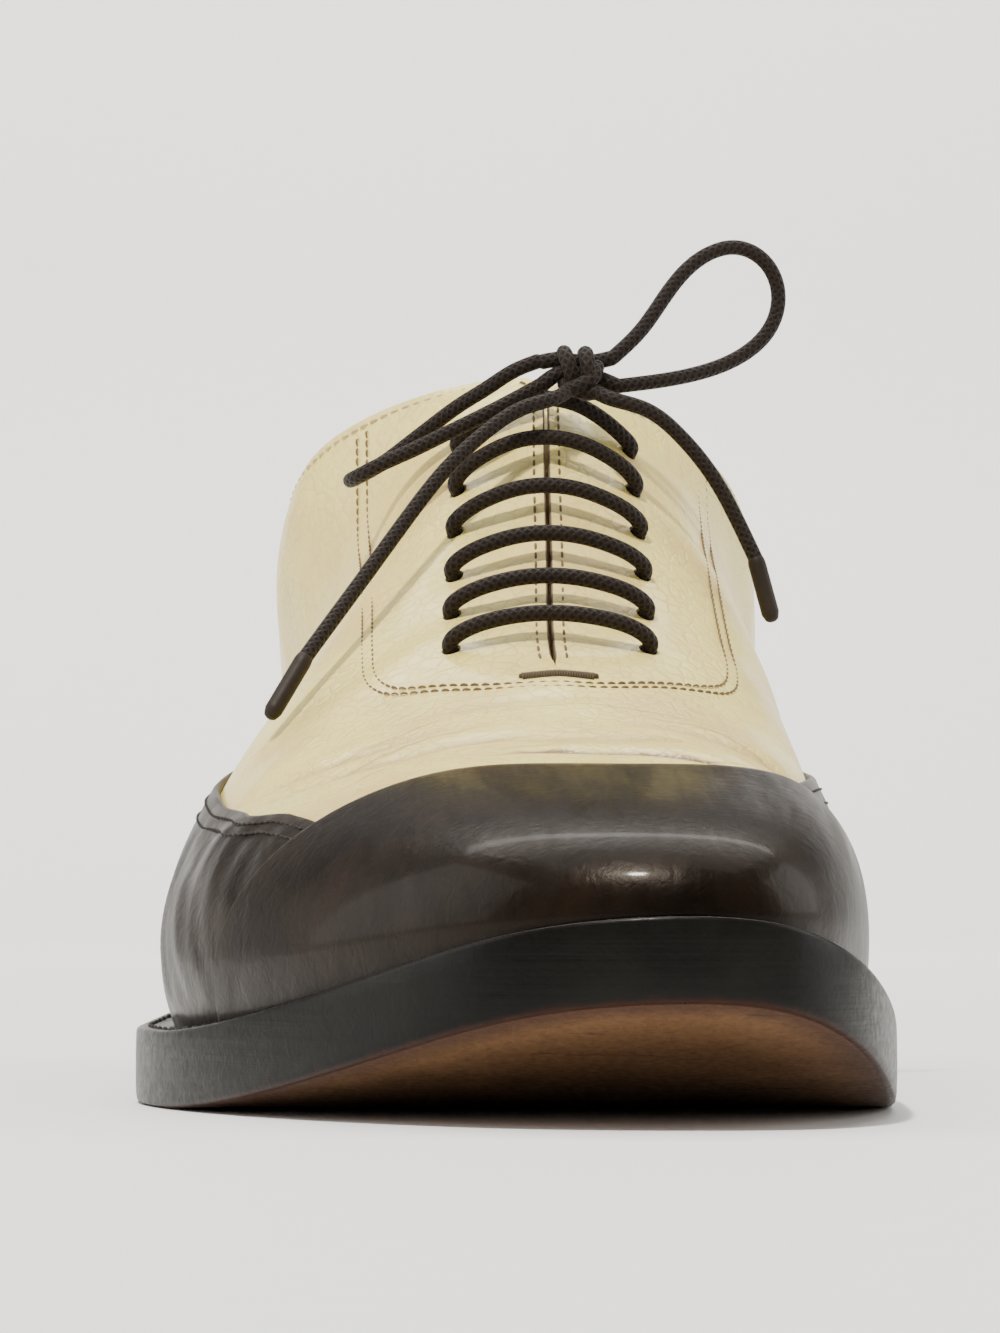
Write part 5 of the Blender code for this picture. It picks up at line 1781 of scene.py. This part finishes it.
@dataclass
class Facings:
    """The tan rows that sew the facings, the throat's edges and the topline."""

    outline: tuple[tuple[float, float], ...] = (
        (0.1000, -0.0276), (0.1130, -0.0273), (0.1420, -0.0270), (0.1700, -0.0274), (0.1775, -0.0268),
        (0.1835, -0.0238), (0.1872, -0.0180), (0.1905, -0.0110), (0.1922, -0.0030), (0.1918, 0.0050),
        (0.1885, 0.0120), (0.1838, 0.0190), (0.1788, 0.0232), (0.1720, 0.0250), (0.1600, 0.0249),
        (0.1440, 0.0246), (0.1130, 0.0252), (0.1000, 0.0256),
    )
    row_gap: float = 0.0014
    edge_inset: float = 0.0014
    topline_inset: float = 0.0026
    rim_gap: float = 0.0008
    back_row: float = 0.992
    end_gap: float = 0.03
    tack_u: float = 0.1885
    tack_half_width: float = 0.0052
    tack_steps: int = 60
    tack_turn: tuple[float, float] = (0.00085, 0.00042)
    tack_thread: float = 0.00036
    tack_core: float = 0.0009

    def outline_path(self, inset: float) -> tuple[Array, Array]:
        """Return the facing's outline, moved towards the throat, over the leather.

        Args:
            inset: How far it is moved.

        Returns:
            Points and outward directions.
        """
        points = smooth_route(self.outline, 0.0012)
        along = unit(np.gradient(points, axis=0))
        points = points + np.column_stack((-along[:, 1], along[:, 0])) * inset
        side, p, v = LAST.over(points[:, 0], points[:, 1])
        path, normals = over_skin(side, p, v)
        keep = np.zeros(len(points), bool)
        for name in (LATERAL, MEDIAL):
            mine = side == name
            rim = inset_v(name, p[mine], LAST.v_collar(name, p[mine]), self.rim_gap)
            keep[mine] = (v[mine] < rim) | (p[mine] < LAST.throat_top)
        return path[keep], normals[keep]

    def build(self) -> list[Piece]:
        """Sew the facings' outline, the throat edges, the topline and the bar tack.

        Returns:
            The new objects.
        """
        rows, collar = [], []
        for inset in (0.0, self.row_gap):
            rows.append(StitchRow(*self.outline_path(inset), Gauge.FACING))
        for side in (LATERAL, MEDIAL):
            rows.append(self.edge_row(side, np.linspace(LAST.throat_bottom + 0.006, 0.70, 220),
                                      self.edge_inset))
            collar.append(self.edge_row(side, np.linspace(0.715, 0.998, 420), self.topline_inset))
            p = np.full(60, self.back_row)
            foot = float(LAST.v_foxing(side, p[:1])[0]) + self.end_gap
            head = float(LAST.v_collar(side, p[:1])[0]) - self.end_gap
            v = np.linspace(foot, head, len(p))
            collar.append(StitchRow(*skin_path(side, p, v, 0.0), Gauge.EDGE))
        return [stitch_piece("facing_stitches", rows, Finish.THREAD, "cream_leather"),
                stitch_piece("collar_stitches", collar, Finish.CREAM_THREAD, "cream_leather"),
                self.bar_tack()]

    @staticmethod
    def edge_row(side: int, p: Array, inset: float) -> StitchRow:
        """Return a row below the edge of the throat or the topline."""
        v = inset_v(side, p, LAST.v_collar(side, p), inset)
        return StitchRow(*skin_path(side, p, v, 0.0), Gauge.EDGE)

    def bar_tack(self) -> Piece:
        """Make the bar tack below the throat, close turns of thread over a core.

        Returns:
            The new object.
        """
        crest = LAST.ridge(np.array([self.tack_u]))[0, 0]
        w = np.linspace(crest - self.tack_half_width, crest + self.tack_half_width, self.tack_steps)
        path, normals = over_skin(*LAST.over(np.full(len(w), self.tack_u), w))
        across = unit(np.cross(np.gradient(path, axis=0), normals))
        turns = []
        for k in range(2, len(w) - 2, 2):
            wide, high = across[k] * self.tack_turn[0], normals[k] * self.tack_turn[1]
            arc = [path[k] + wide * math.sin(a) + high * math.cos(a)
                   for a in np.radians(np.linspace(-100, 100, 9))]
            turns.append(Cord(np.array(arc), self.tack_thread, 6))
        turns.append(Cord(path + normals * self.tack_thread / 3, self.tack_core, 8))
        return cord_piece("bar_tack", turns, Finish.TACK_THREAD, "cream_leather")


@dataclass
class Tongue:
    """The tongue under the throat, free above it."""

    wall: float = 0.002
    half_width: float = 0.021
    above_throat: float = 0.006
    below_throat: float = 0.05
    short_of_top: float = 0.005
    seating: float = 0.27
    lace_room: float = 0.0034
    upper_wall: float = Upper.wall
    rows: int = 44
    half_columns: int = 12

    def line(self, p: float, half_width: float, lift: float) -> Array:
        """Return points across the throat below the skin, from lateral to medial.

        Args:
            p: Place round the feather line.
            half_width: Half the width.
            lift: Distance below the skin.

        Returns:
            The points.
        """
        shares = np.linspace(1, 0, self.half_columns + 1)[:-1]
        halves = []
        for side in (LATERAL, MEDIAL):
            edge = LAST.skin(side, np.array([p]), np.ones(1))
            reach = shares * half_width
            at = np.full(len(reach), p)
            v = bisect(lambda q: np.linalg.norm(LAST.skin(side, at, q) - edge, axis=-1) > reach,
                       np.full(len(reach), 0.2), np.ones(len(reach)))
            halves.append(skin_path(side, at, v, -lift)[0])
        middle = (halves[0][-1] + halves[1][-1]) / 2
        return np.concatenate((halves[0], [middle], halves[1][::-1]))

    def build(self) -> Piece:
        """Make the tongue as one soft plate with rounded rims.

        Returns:
            The new object.
        """
        places = np.linspace(LAST.throat_bottom - self.below_throat, LAST.throat_top - self.short_of_top,
                             self.rows)
        seated = self.upper_wall + 2 * LAST.clearance
        full = self.upper_wall + self.lace_room
        faces_out, faces_in = [], []
        for k, p in enumerate(places):
            share = k / (self.rows - 1)
            lift = seated + (full - seated) * float(smooth_step(0.0, self.seating, share))
            width = self.half_width * (0.7 + 0.3 * share)
            faces_out.append(self.line(float(p), width, lift))
            faces_in.append(self.line(float(p), width, lift + self.wall))
        for faces in (faces_out, faces_in):
            onward = unit(faces[-1] - faces[-2])
            last = faces[-1]
            for step in (0.25, 0.5, 0.75, 0.93, 1.0):
                faces.append(last + onward * self.above_throat * step)
        outside, inside = np.array(faces_out), np.array(faces_in)
        pinch = np.array([1.0] * (len(outside) - 2) + [0.8, 0.35])[:, None, None]
        middle = (outside + inside) / 2
        outside = middle + (outside - middle) * pinch
        inside = middle + (inside - middle) * pinch
        rows, across = outside.shape[:2]
        vertices = np.concatenate((outside.reshape(-1, 3), inside.reshape(-1, 3)))
        faces = grid_faces(rows, across, 0, 1) + grid_faces(rows, across, rows * across, -1)
        border = list(range(across)) + [i * across + across - 1 for i in range(1, rows)]
        border += [(rows - 1) * across + j for j in range(across - 2, -1, -1)]
        border += [i * across for i in range(rows - 2, 0, -1)]
        for a, b in zip(border, border[1:] + border[:1]):
            faces.append((b, a, a + rows * across, b + rows * across))
        return Workshop.piece("tongue_leather", vertices, faces, [Finish.CREAM], "cream_leather",
                              merge=False, smooth_angle=60, replaces=["tongue"])


@dataclass
class Plate:
    """A plate that follows the feather line, built as cross lines from toe to heel."""

    distance: Curve
    rows: int = 150
    across: int = 16
    border_width: float = 0.010

    def edges(self, extra: float = 0.0) -> tuple[Array, Array]:
        """Return the lateral and medial edges in plan, moved out by a further distance.

        Args:
            extra: The further distance.

        Returns:
            Both edges.
        """
        p = 0.5 - 0.5 * np.cos(np.linspace(0, math.pi, self.rows))
        distance = self.distance(p) + extra
        return (LAST.feather_offset(-p, distance), LAST.feather_offset(p, distance))

    def face(self, height: Curve, extra: float) -> Array:
        """Return a grid from the lateral to the medial edge at a height over u.

        Args:
            height: Gives the height at u.
            extra: How far the edges are moved out.

        Returns:
            The grid.
        """
        lateral, medial = self.edges(extra)
        shares = np.linspace(0, 1, self.across)[None, :, None]
        plan = lateral[:, None] * (1 - shares) + medial[:, None] * shares
        return np.concatenate((plan, height(plan[..., 0])[..., None]), -1)

    def solid(self, profile: Sequence[tuple[float, Curve, int]],
              ) -> tuple[Array, Faces, list[int], Array]:
        """Return the plate's mesh from rings that run down its edge.

        Args:
            profile: For each ring the further distance out, its height over u, and the
                finish of the faces below it. The first ring bounds the top face and
                the last the bottom face.

        Returns:
            Vertices, faces, finishes, and each vertex's share of the way up the edge.
        """
        top = self.face(profile[0][1], profile[0][0])
        bottom = self.face(profile[-1][1], profile[-1][0])
        rows, across = top.shape[:2]
        vertices = [top.reshape(-1, 3), bottom.reshape(-1, 3)]
        faces, finishes = [], []
        for base, finish, turn in ((0, 0, 1), (rows * across, profile[-1][2], -1)):
            made = grid_faces(rows, across, base, turn)
            faces += made
            finishes += [finish] * len(made)
        base = 2 * rows * across
        rings = []
        for extra, height, _ in profile:
            lateral, medial = self.edges(extra)
            plan = np.concatenate((lateral, medial[-2:0:-1]))
            rings.append(np.column_stack((plan, height(plan[:, 0]))))
        count = len(rings[0])
        for k in range(len(rings) - 1):
            faces += ring_faces(base + k * count, base + (k + 1) * count, count)
            finishes += [profile[k][2]] * count
        vertices += rings
        values = [np.ones(rows * across), self.border_shares()]
        values += [np.full(count, 1 - k / (len(rings) - 1)) for k in range(len(rings))]
        return to_world(np.concatenate(vertices)), faces, finishes, np.concatenate(values)

    def border_shares(self) -> Array:
        """Return, for the bottom face, 0 at its border and 1 a centimetre inside.

        Returns:
            One share for each point.
        """
        bottom = self.face(lambda u: 0 * u, 0.0)[..., :2]
        lateral, medial = self.edges()
        border = np.concatenate((lateral, medial))
        gaps = np.array([np.min(np.hypot(*(border - place).T)) for place in bottom.reshape(-1, 2)])
        return np.clip(gaps / self.border_width, 0, 1)


@dataclass
class Sole:
    """The leather outsole, the insole inside and the stacked heel."""

    insole_thickness: float = 0.0025
    insole_inset: float = 0.0029
    heel_taper: float = 0.0015
    top_piece: float = 0.0055
    lifts: int = 4
    heel_band: float = 0.6
    stitch_share: float = 0.62
    stitch_shift: float = 0.0006

    def outsole(self) -> Piece:
        """Make the outsole, its dark edge and its tan underside.

        Returns:
            The new object.
        """
        def above(drop: float) -> Curve:
            """Return heights a little below the sole's upper face."""
            return lambda u: LAST.sole_top(u) - drop

        def below(rise: float) -> Curve:
            """Return heights a little above the sole's underside."""
            return lambda u: LAST.sole_bottom(u) + rise

        profile = [
            (-0.0011, above(0.0), 0), (-0.00035, above(0.00005), 0), (-0.00008, above(0.00030), 0),
            (0.0, above(0.0008), 0), (0.00006, above(0.0030), 0), (0.00006, below(0.0030), 0),
            (0.0, below(0.0012), 0), (-0.00012, below(0.0005), 0), (-0.0005, below(0.00012), 0),
            (-0.0012, below(0.0), 1),
        ]
        plate = Plate(LAST.edge_distance, 170, 22)
        vertices, faces, finishes, band = plate.solid(profile)
        materials = [Finish.SOLE_EDGE, Finish.SOLE]
        return Workshop.piece("outsole_leather", vertices, faces, materials, "sole_edge", finishes,
                              values={"band": band}, smooth_angle=60, replaces=["outsole"])

    def insole(self) -> Piece:
        """Make the insole with its thin leather sock.

        Returns:
            The new object.
        """
        low = LAST.clearance

        def top(drop: float) -> Curve:
            """Return heights a little below the insole's face."""
            return lambda u: LAST.sole_top(u) + low + self.insole_thickness - drop

        profile = [(-0.0008, top(0.0), 0), (-0.0002, top(0.0003), 0), (0.0, top(0.0009), 0),
                   (0.0, lambda u: LAST.sole_top(u) + low, 0)]
        plate = Plate(lambda p: 0 * p - self.insole_inset, 120, 16)
        vertices, faces, finishes, _ = plate.solid(profile)
        return Workshop.piece("insole_sock", vertices, faces, [Finish.INSOLE], "insole_leather",
                              finishes, smooth_angle=60, replaces=["insole"])

    def heel_edge(self, taper: float) -> Array:
        """Return the heel's outline in plan, from the lateral breast round the back.

        Args:
            taper: How far the outline is drawn in.

        Returns:
            The outline.
        """
        sides = []
        for side in (LATERAL, MEDIAL):
            first = bisect(lambda p: LAST.feather(side * p)[..., 0] > LAST.heel_length,
                           np.array([0.5]), np.array([0.95]))[0]
            places = first + (1 - first) * np.linspace(0, 1, 60)
            edge = LAST.feather_offset(side * places, LAST.edge_distance(places) - taper)
            edge[0, 0] = LAST.heel_length
            sides.append(edge)
        return np.concatenate((sides[0], sides[1][-2::-1]))

    def block(self, name: str, levels: Sequence[tuple[float, Curve]],
              finish: Finish, slot: str, node: str) -> Piece:
        """Make a heel piece from its outline at several heights, from the top down.

        Args:
            name: The piece's name.
            levels: For each outline, how far it is drawn in and its height over u.
            finish: The finish.
            slot: The record's material slot; not used.
            node: The CAD node that it stands for.

        Returns:
            The new object.
        """
        rings = []
        for inset, height in levels:
            plan = self.heel_edge(inset)
            rings.append(np.column_stack((plan, height(plan[:, 0]))))
        count = len(rings[0])
        half = (count + 1) // 2
        faces = []
        for k in range(len(rings) - 1):
            faces += ring_faces(k * count, (k + 1) * count, count)
        for base in (0, (len(rings) - 1) * count):
            for n in range(half - 1):
                corners = (n, n + 1, count - 2 - n, count - 1 - n)
                faces.append(tuple(base + c for c in dict.fromkeys(corners)))
        band = np.full(len(rings) * count, self.heel_band)
        return Workshop.piece(name, to_world(np.concatenate(rings)), faces, [finish], slot,
                              values={"band": band}, smooth_angle=35, replaces=[node])

    def heel(self) -> list[Piece]:
        """Make the stack of lifts and the top piece.

        Returns:
            The new objects.
        """
        foot = self.top_piece + LAST.clearance

        def between(share: float, drop: float) -> Curve:
            """Return heights a share of the way down the stack.

            Args:
                share: Share of the way down.
                drop: A further drop.

            Returns:
                The height over u.
            """
            def height(u: Array) -> Array:
                """Return the height at u."""
                top = LAST.sole_bottom(u) - LAST.clearance
                return top + (foot - top) * share - drop
            return height

        levels = [(0.0006, between(0.0, 0.0)), (0.0, between(0.0, 0.0005))]
        for lift in range(1, self.lifts):
            share = lift / self.lifts
            taper = self.heel_taper * share
            levels += [(taper, between(share, -0.00035)), (taper + 0.00022, between(share, 0.0)),
                       (taper, between(share, 0.00035))]
        levels += [(self.heel_taper, between(1.0, -0.0004)), (self.heel_taper + 0.0003, between(1.0, 0.0))]
        stack = self.block("heel_lifts", levels, Finish.SOLE_EDGE, "sole_edge", "heel_stack")

        def level(height: float) -> Curve:
            """Return one height everywhere."""
            return lambda u: 0 * u + height

        taper = self.heel_taper
        levels = [(taper + 0.0003, level(self.top_piece)), (taper, level(self.top_piece - 0.0003)),
                  (taper, level(0.0007)), (taper + 0.0006, level(0.0))]
        piece = self.block("heel_rubber_piece", levels, Finish.RUBBER, "heel_rubber", "heel_top_piece")
        return [stack, piece]

    def welt_stitches(self) -> Piece:
        """Sew the sole's rim with dark thread, from arch to arch round the toe.

        Returns:
            The new object.
        """
        rows = []
        for side in (LATERAL, MEDIAL):
            p = np.linspace(0, 0.60, 420)
            distance = LAST.edge_distance(p) * self.stitch_share + self.stitch_shift
            plan = LAST.feather_offset(side * p, distance)
            path = to_world(np.column_stack((plan, LAST.sole_top(plan[:, 0]))))
            rows.append(StitchRow(path, np.tile((0.0, 0.0, 1.0), (len(path), 1)), Gauge.WELT))
        return stitch_piece("welt_stitches", rows, Finish.DARK_THREAD, "sole_edge")


# Routes of the free lace: w, u from the back of the last, and height z
LOOP_RIGHT = (
    (0.0094, 0.1400, 0.1060), (0.0135, 0.1390, 0.1100), (0.0172, 0.1378, 0.1152),
    (0.0206, 0.1367, 0.1194), (0.0243, 0.1356, 0.1220), (0.0280, 0.1347, 0.1228),
    (0.0317, 0.1338, 0.1213), (0.0339, 0.1332, 0.1180), (0.0342, 0.1330, 0.1144),
    (0.0327, 0.1332, 0.1106), (0.0293, 0.1342, 0.1073), (0.0243, 0.1360, 0.1048),
    (0.0185, 0.1380, 0.1032), (0.0102, 0.1400, 0.1019),
)
LOOP_LEFT = (
    (-0.0014, 0.1401, 0.1055), (-0.0048, 0.1392, 0.1042), (-0.0086, 0.1372, 0.1019),
    (-0.0125, 0.1347, 0.0996), (-0.0165, 0.1320, 0.0968), (-0.0205, 0.1300, 0.0938),
    (-0.0242, 0.1293, 0.0911), (-0.0274, 0.1308, 0.0892), (-0.0287, 0.1344, 0.0884),
    (-0.0274, 0.1379, 0.0889), (-0.0243, 0.1397, 0.0904), (-0.0200, 0.1406, 0.0923),
    (-0.0152, 0.1417, 0.0946), (-0.0104, 0.1427, 0.0969), (-0.0057, 0.1429, 0.0993),
    (-0.0009, 0.1416, 0.1020),
)
END_LEFT = (
    (0.0026, 0.1438, 0.1009), (0.0012, 0.1462, 0.0998), (-0.0036, 0.1486, 0.0981),
    (-0.0092, 0.1510, 0.0945), (-0.0150, 0.1545, 0.0890), (-0.0205, 0.1580, 0.0820),
    (-0.0255, 0.1620, 0.0750), (-0.0305, 0.1670, 0.0680), (-0.0355, 0.1720, 0.0610),
)
END_RIGHT = (
    (0.0069, 0.1434, 0.1007), (0.0086, 0.1453, 0.0997), (0.0134, 0.1452, 0.0983),
    (0.0188, 0.1436, 0.0946), (0.0235, 0.1432, 0.0890), (0.0272, 0.1430, 0.0825),
    (0.0300, 0.1435, 0.0765),
)
KNOT_CENTRE = (0.0045, 0.1402, 0.1034)
AGLET_LEFT_TIP = (-0.0402, 0.1760, 0.0530)
AGLET_RIGHT_TIP = (0.0322, 0.1445, 0.0680)


def route(points: Points, spacing: float = 0.0006) -> Array:
    """Return a smooth path through points given as w, u and z, in the row's axes."""
    return smooth_route([to_world(np.array((u, w, z))) for w, u, z in points], spacing)


@dataclass
class Laces:
    """The round lace: bars through the eyelets, bow, ends and aglets."""

    diameter: float = 0.0023
    cord_diameter: float = 0.0022
    aglet_diameter: float = 0.0026
    bar_rise: float = 0.0036
    knotted_rise: float = 0.0027
    upper_wall: float = Upper.wall
    inside_depth: float = 0.0034
    run_shift: float = 0.0013
    eyelets: Eyelets = field(default_factory=Eyelets)

    def bar(self, row: int) -> Cord:
        """Return the bar of one row, down through both its eyelets.

        Args:
            row: Number of the row from the toe.

        Returns:
            The bar.
        """
        rise = self.knotted_rise if row == len(self.eyelets.rows) - 1 else self.bar_rise
        legs, arches = [], []
        for side in (LATERAL, MEDIAL):
            p, v = self.eyelets.place(side, row)
            inside = self.eyelets.at(side, row, -self.inside_depth + 0.0004)
            wall = self.eyelets.at(side, row, -self.upper_wall / 2)
            rim = self.eyelets.at(side, row, self.diameter * 0.35)
            over = []
            for share, height in ((0.16, 0.66), (0.45, 0.92), (0.76, 1.0)):
                up = np.array([v + (1 - v) * share])
                over.append(skin_path(side, np.array([p]), up, rise * height)[0][0])
            legs.append([inside, wall, rim])
            arches.append(over)
        points = legs[0] + arches[0] + arches[1][::-1] + legs[1][::-1]
        return Cord(smooth_route(points, 0.0005), self.diameter)

    def run(self, side: int, low: int, high: int, shift: float) -> Cord:
        """Return a run inside the facing from one row to a higher one.

        Args:
            side: LATERAL or MEDIAL.
            low: The lower row.
            high: The higher row.
            shift: How far it is moved aside.

        Returns:
            The run.
        """
        points = [self.eyelets.at(side, low, -self.upper_wall)]
        for row in np.linspace(low, high, 6):
            inner = 0 < row - low and row < high
            points.append(self.eyelets.at(side, float(row), -self.inside_depth, shift if inner else 0.0))
        points.append(self.eyelets.at(side, high, -self.upper_wall))
        return Cord(smooth_route(points, 0.0007), self.diameter * 0.95, 10)

    def lacing(self) -> Piece:
        """Make the bars and the runs inside the facings.

        Returns:
            The new object.
        """
        cords = [self.bar(row) for row in range(len(self.eyelets.rows))]
        cords += [self.run(LATERAL, 0, 1, 0.0), self.run(LATERAL, 2, 4, self.run_shift),
                  self.run(LATERAL, 3, 5, -self.run_shift), self.run(MEDIAL, 1, 3, self.run_shift),
                  self.run(MEDIAL, 0, 2, -self.run_shift), self.run(MEDIAL, 4, 5, 0.0)]
        nodes = ["lace_bar_%d" % (k + 1) for k in range(len(self.eyelets.rows))]
        return cord_piece("lacing", cords, Finish.LACE, "lace_cotton", nodes)

    def knot(self) -> Piece:
        """Make the bow's knot from turns of the lace round its passing strands.

        Returns:
            The new object.
        """
        cords = []

        def strand(points: Points) -> Cord:
            """Return a strand through places given in millimetres from the centre."""
            rows = [np.array(KNOT_CENTRE) + np.array(point) * MILLIMETRE for point in points]
            return Cord(route(rows, 0.0004), self.diameter, 12)

        cords.append(strand([(-5.3, 0.0, 2.0), (-2.6, 0.4, 2.3), (0.2, 0.2, 1.9), (2.8, 0.0, 2.1),
                             (4.9, -0.2, 2.6)]))
        cords.append(strand([(-5.4, 1.4, -1.4), (-2.8, 1.2, 0.2), (0.0, 0.6, 0.3), (2.9, 0.2, -0.4),
                             (5.7, -0.2, -1.5)]))
        wrap = []
        for angle in np.linspace(-70, 300, 17):
            a = math.radians(angle)
            wrap.append((0.9 + 0.9 * angle / 300, 2.7 * math.sin(a) + 0.3, 2.9 * math.cos(a) + 0.3))
        cords.append(strand(wrap))
        wrap = []
        for angle in np.linspace(-60, 250, 15):
            a = math.radians(angle)
            wrap.append((-1.4 - 0.8 * math.cos(a), 2.4 * math.sin(a) + 0.3, 2.7 * math.cos(a) + 0.6))
        cords.append(strand(wrap))
        cords.append(strand([(-1.9, 3.6, -2.5), (0.2, 3.6, -1.6), (1.9, 2.9, -0.4), (2.5, 1.6, 1.2)]))
        cords.append(strand([(2.4, 3.2, -2.7), (0.6, 2.9, -2.6), (-0.9, 2.6, -2.2), (-2.2, 1.2, -1.2)]))
        return cord_piece("bow_knot", cords, Finish.LACE, "lace_cotton", ["lace_knot"])

    def aglet(self, name: str, lace: Points, tip: Sequence[float]) -> Piece:
        """Make the stiff tip of a lace end.

        Args:
            name: Its end of the lace, left or right.
            lace: Route of that end.
            tip: Where the aglet ends.

        Returns:
            The new object.
        """
        start, end = (to_world(np.array((u, w, z))) for w, u, z in (lace[-1], tip))
        along = unit(end - start)
        path = start + along * np.linspace(0.0001, np.linalg.norm(end - start), 30)[:, None]
        cord = Cord(path, self.aglet_diameter, 16, taper_start=0.92, taper_end=0.82)
        return cord_piece("tip_" + name, [cord], Finish.AGLET, "aglet_plastic", ["aglet_" + name])

    def free(self, knot: Piece) -> list[Piece]:
        """Args:
            knot: The knot; not used.

        Returns:
            The new objects.
        """
        tips = {"end_left": self.aglet("left", END_LEFT, AGLET_LEFT_TIP),
                "end_right": self.aglet("right", END_RIGHT, AGLET_RIGHT_TIP)}
        made = list(tips.values())
        routes = {"loop_right": LOOP_RIGHT, "loop_left": LOOP_LEFT, "end_left": END_LEFT,
                  "end_right": END_RIGHT}
        for name, points in routes.items():
            path = route(points)
            cord = Cord(path, self.cord_diameter)
            piece = cord_piece("bow_" + name, [cord], Finish.LACE, "lace_cotton",
                               ["lace_" + name])
            float(arc_lengths(path)[-1])
            made.append(piece)
        return made


@dataclass
class Studio:
    """The pale floor, the soft lights and the camera."""

    camera_place: Triple = (-0.0398, -0.9563, 0.030)
    target: Triple = (-0.0075, -0.12, 0.0605)
    lens: float = 158.0
    sensor: float = 36.0
    floor_half: float = 4.0
    floor_back: float = 2.2
    sweep_radius: float = 0.4
    sweep_steps: int = 16
    wall_height: float = 0.9

    def floor(self) -> None:
        """Make a floor that sweeps up into a backdrop."""
        profile = [(-3.0, 0.0), (-1.0, 0.0), (0.0, 0.0), (self.floor_back, 0.0)]
        for k in range(1, self.sweep_steps + 1):
            a = math.pi / 2 * k / self.sweep_steps
            profile.append((self.floor_back + self.sweep_radius * math.sin(a),
                            self.sweep_radius * (1 - math.cos(a))))
        profile.append((self.floor_back + self.sweep_radius, self.wall_height))
        vertices = [(x, y, z) for y, z in profile for x in (-self.floor_half, self.floor_half)]
        faces = [(2 * k, 2 * k + 1, 2 * k + 3, 2 * k + 2) for k in range(len(profile) - 1)]
        mesh = bpy.data.meshes.new("studio_floor")
        mesh.from_pydata(vertices, [], faces)
        mesh.shade_smooth()
        mesh.materials.append(Finish.FLOOR.material())
        made = bpy.data.objects.new("studio_floor", mesh)
        bpy.context.scene.collection.objects.link(made)

    @staticmethod
    def stand(made: Piece, place: Triple, target: Triple) -> None:
        """Stand a light or the camera at a place so that it faces a target.

        Args:
            made: The light or the camera.
            place: Where it stands.
            target: Where it faces.
        """
        made.location = place
        towards = Vector(target) - Vector(place)
        made.rotation_euler = towards.to_track_quat("-Z", "Y").to_euler()
        bpy.context.scene.collection.objects.link(made)

    def light(self, name: str, place: Triple, target: Triple,
              size: tuple[float, float], energy: float,
              color: Triple = (1.0, 0.97, 0.92)) -> None:
        """Add one soft light that faces a target.

        Args:
            name: The light's name.
            place: Where it stands.
            target: Where it faces.
            size: Width and height.
            energy: Watts.
            color: Its colour.
        """
        data = bpy.data.lights.new(name, "AREA")
        data.shape = "RECTANGLE"
        data.size, data.size_y = size
        data.energy = energy
        data.color = color
        made = bpy.data.objects.new(name, data)
        self.stand(made, place, target)

    def lights(self) -> None:
        """Light the shoe softly from above and both sides."""
        shoe = (0.0, -0.12, 0.05)
        self.light("key", (-0.30, -0.85, 1.50), shoe, (0.12, 0.12), 37.0)
        self.light("left_window", (-1.8, 0.1, 0.8), shoe, (1.5, 1.5), 19.0, (1.0, 0.98, 0.94))
        self.light("right_window", (1.8, 0.25, 0.8), shoe, (1.4, 1.4), 19.0, (1.0, 0.99, 0.97))
        self.light("top", (0.0, 0.3, 1.9), shoe, (2.4, 2.0), 28.0)
        self.light("backdrop", (0.0, 1.3, 1.9), (0.0, 2.5, 0.35), (2.6, 0.8), 80.0)
        world = bpy.data.worlds.new("studio")
        world.use_nodes = True
        background = world.node_tree.nodes["Background"]
        background.inputs["Color"].default_value = (1.0, 0.99, 0.97, 1.0)
        background.inputs["Strength"].default_value = 0.24
        bpy.context.scene.world = world

    def camera(self) -> None:
        """Set the camera at the photograph's angle to the shoe."""
        data = bpy.data.cameras.new("camera")
        data.lens = self.lens
        data.sensor_width = self.sensor
        data.clip_start = 0.01
        made = bpy.data.objects.new("camera", data)
        self.stand(made, self.camera_place, self.target)
        bpy.context.scene.camera = made


def main() -> None:
    """Build the shoe's visible pieces in order and report each."""
    logging.basicConfig(level=logging.INFO, format="%(message)s")
    studio = Studio()
    studio.camera()
    laces = Laces()
    laces.free(laces.knot())
    laces.lacing()
    Upper().build()
    overlays = Overlays()
    overlays.cap()
    for side in (LATERAL, MEDIAL):
        overlays.foxing(side)
    overlays.stitches()
    Facings().build()
    Tongue().build()
    sole = Sole()
    sole.outsole()
    sole.insole()
    sole.heel()
    sole.welt_stitches()
    studio.floor()
    studio.lights()


if __name__ == "__main__":
    main()
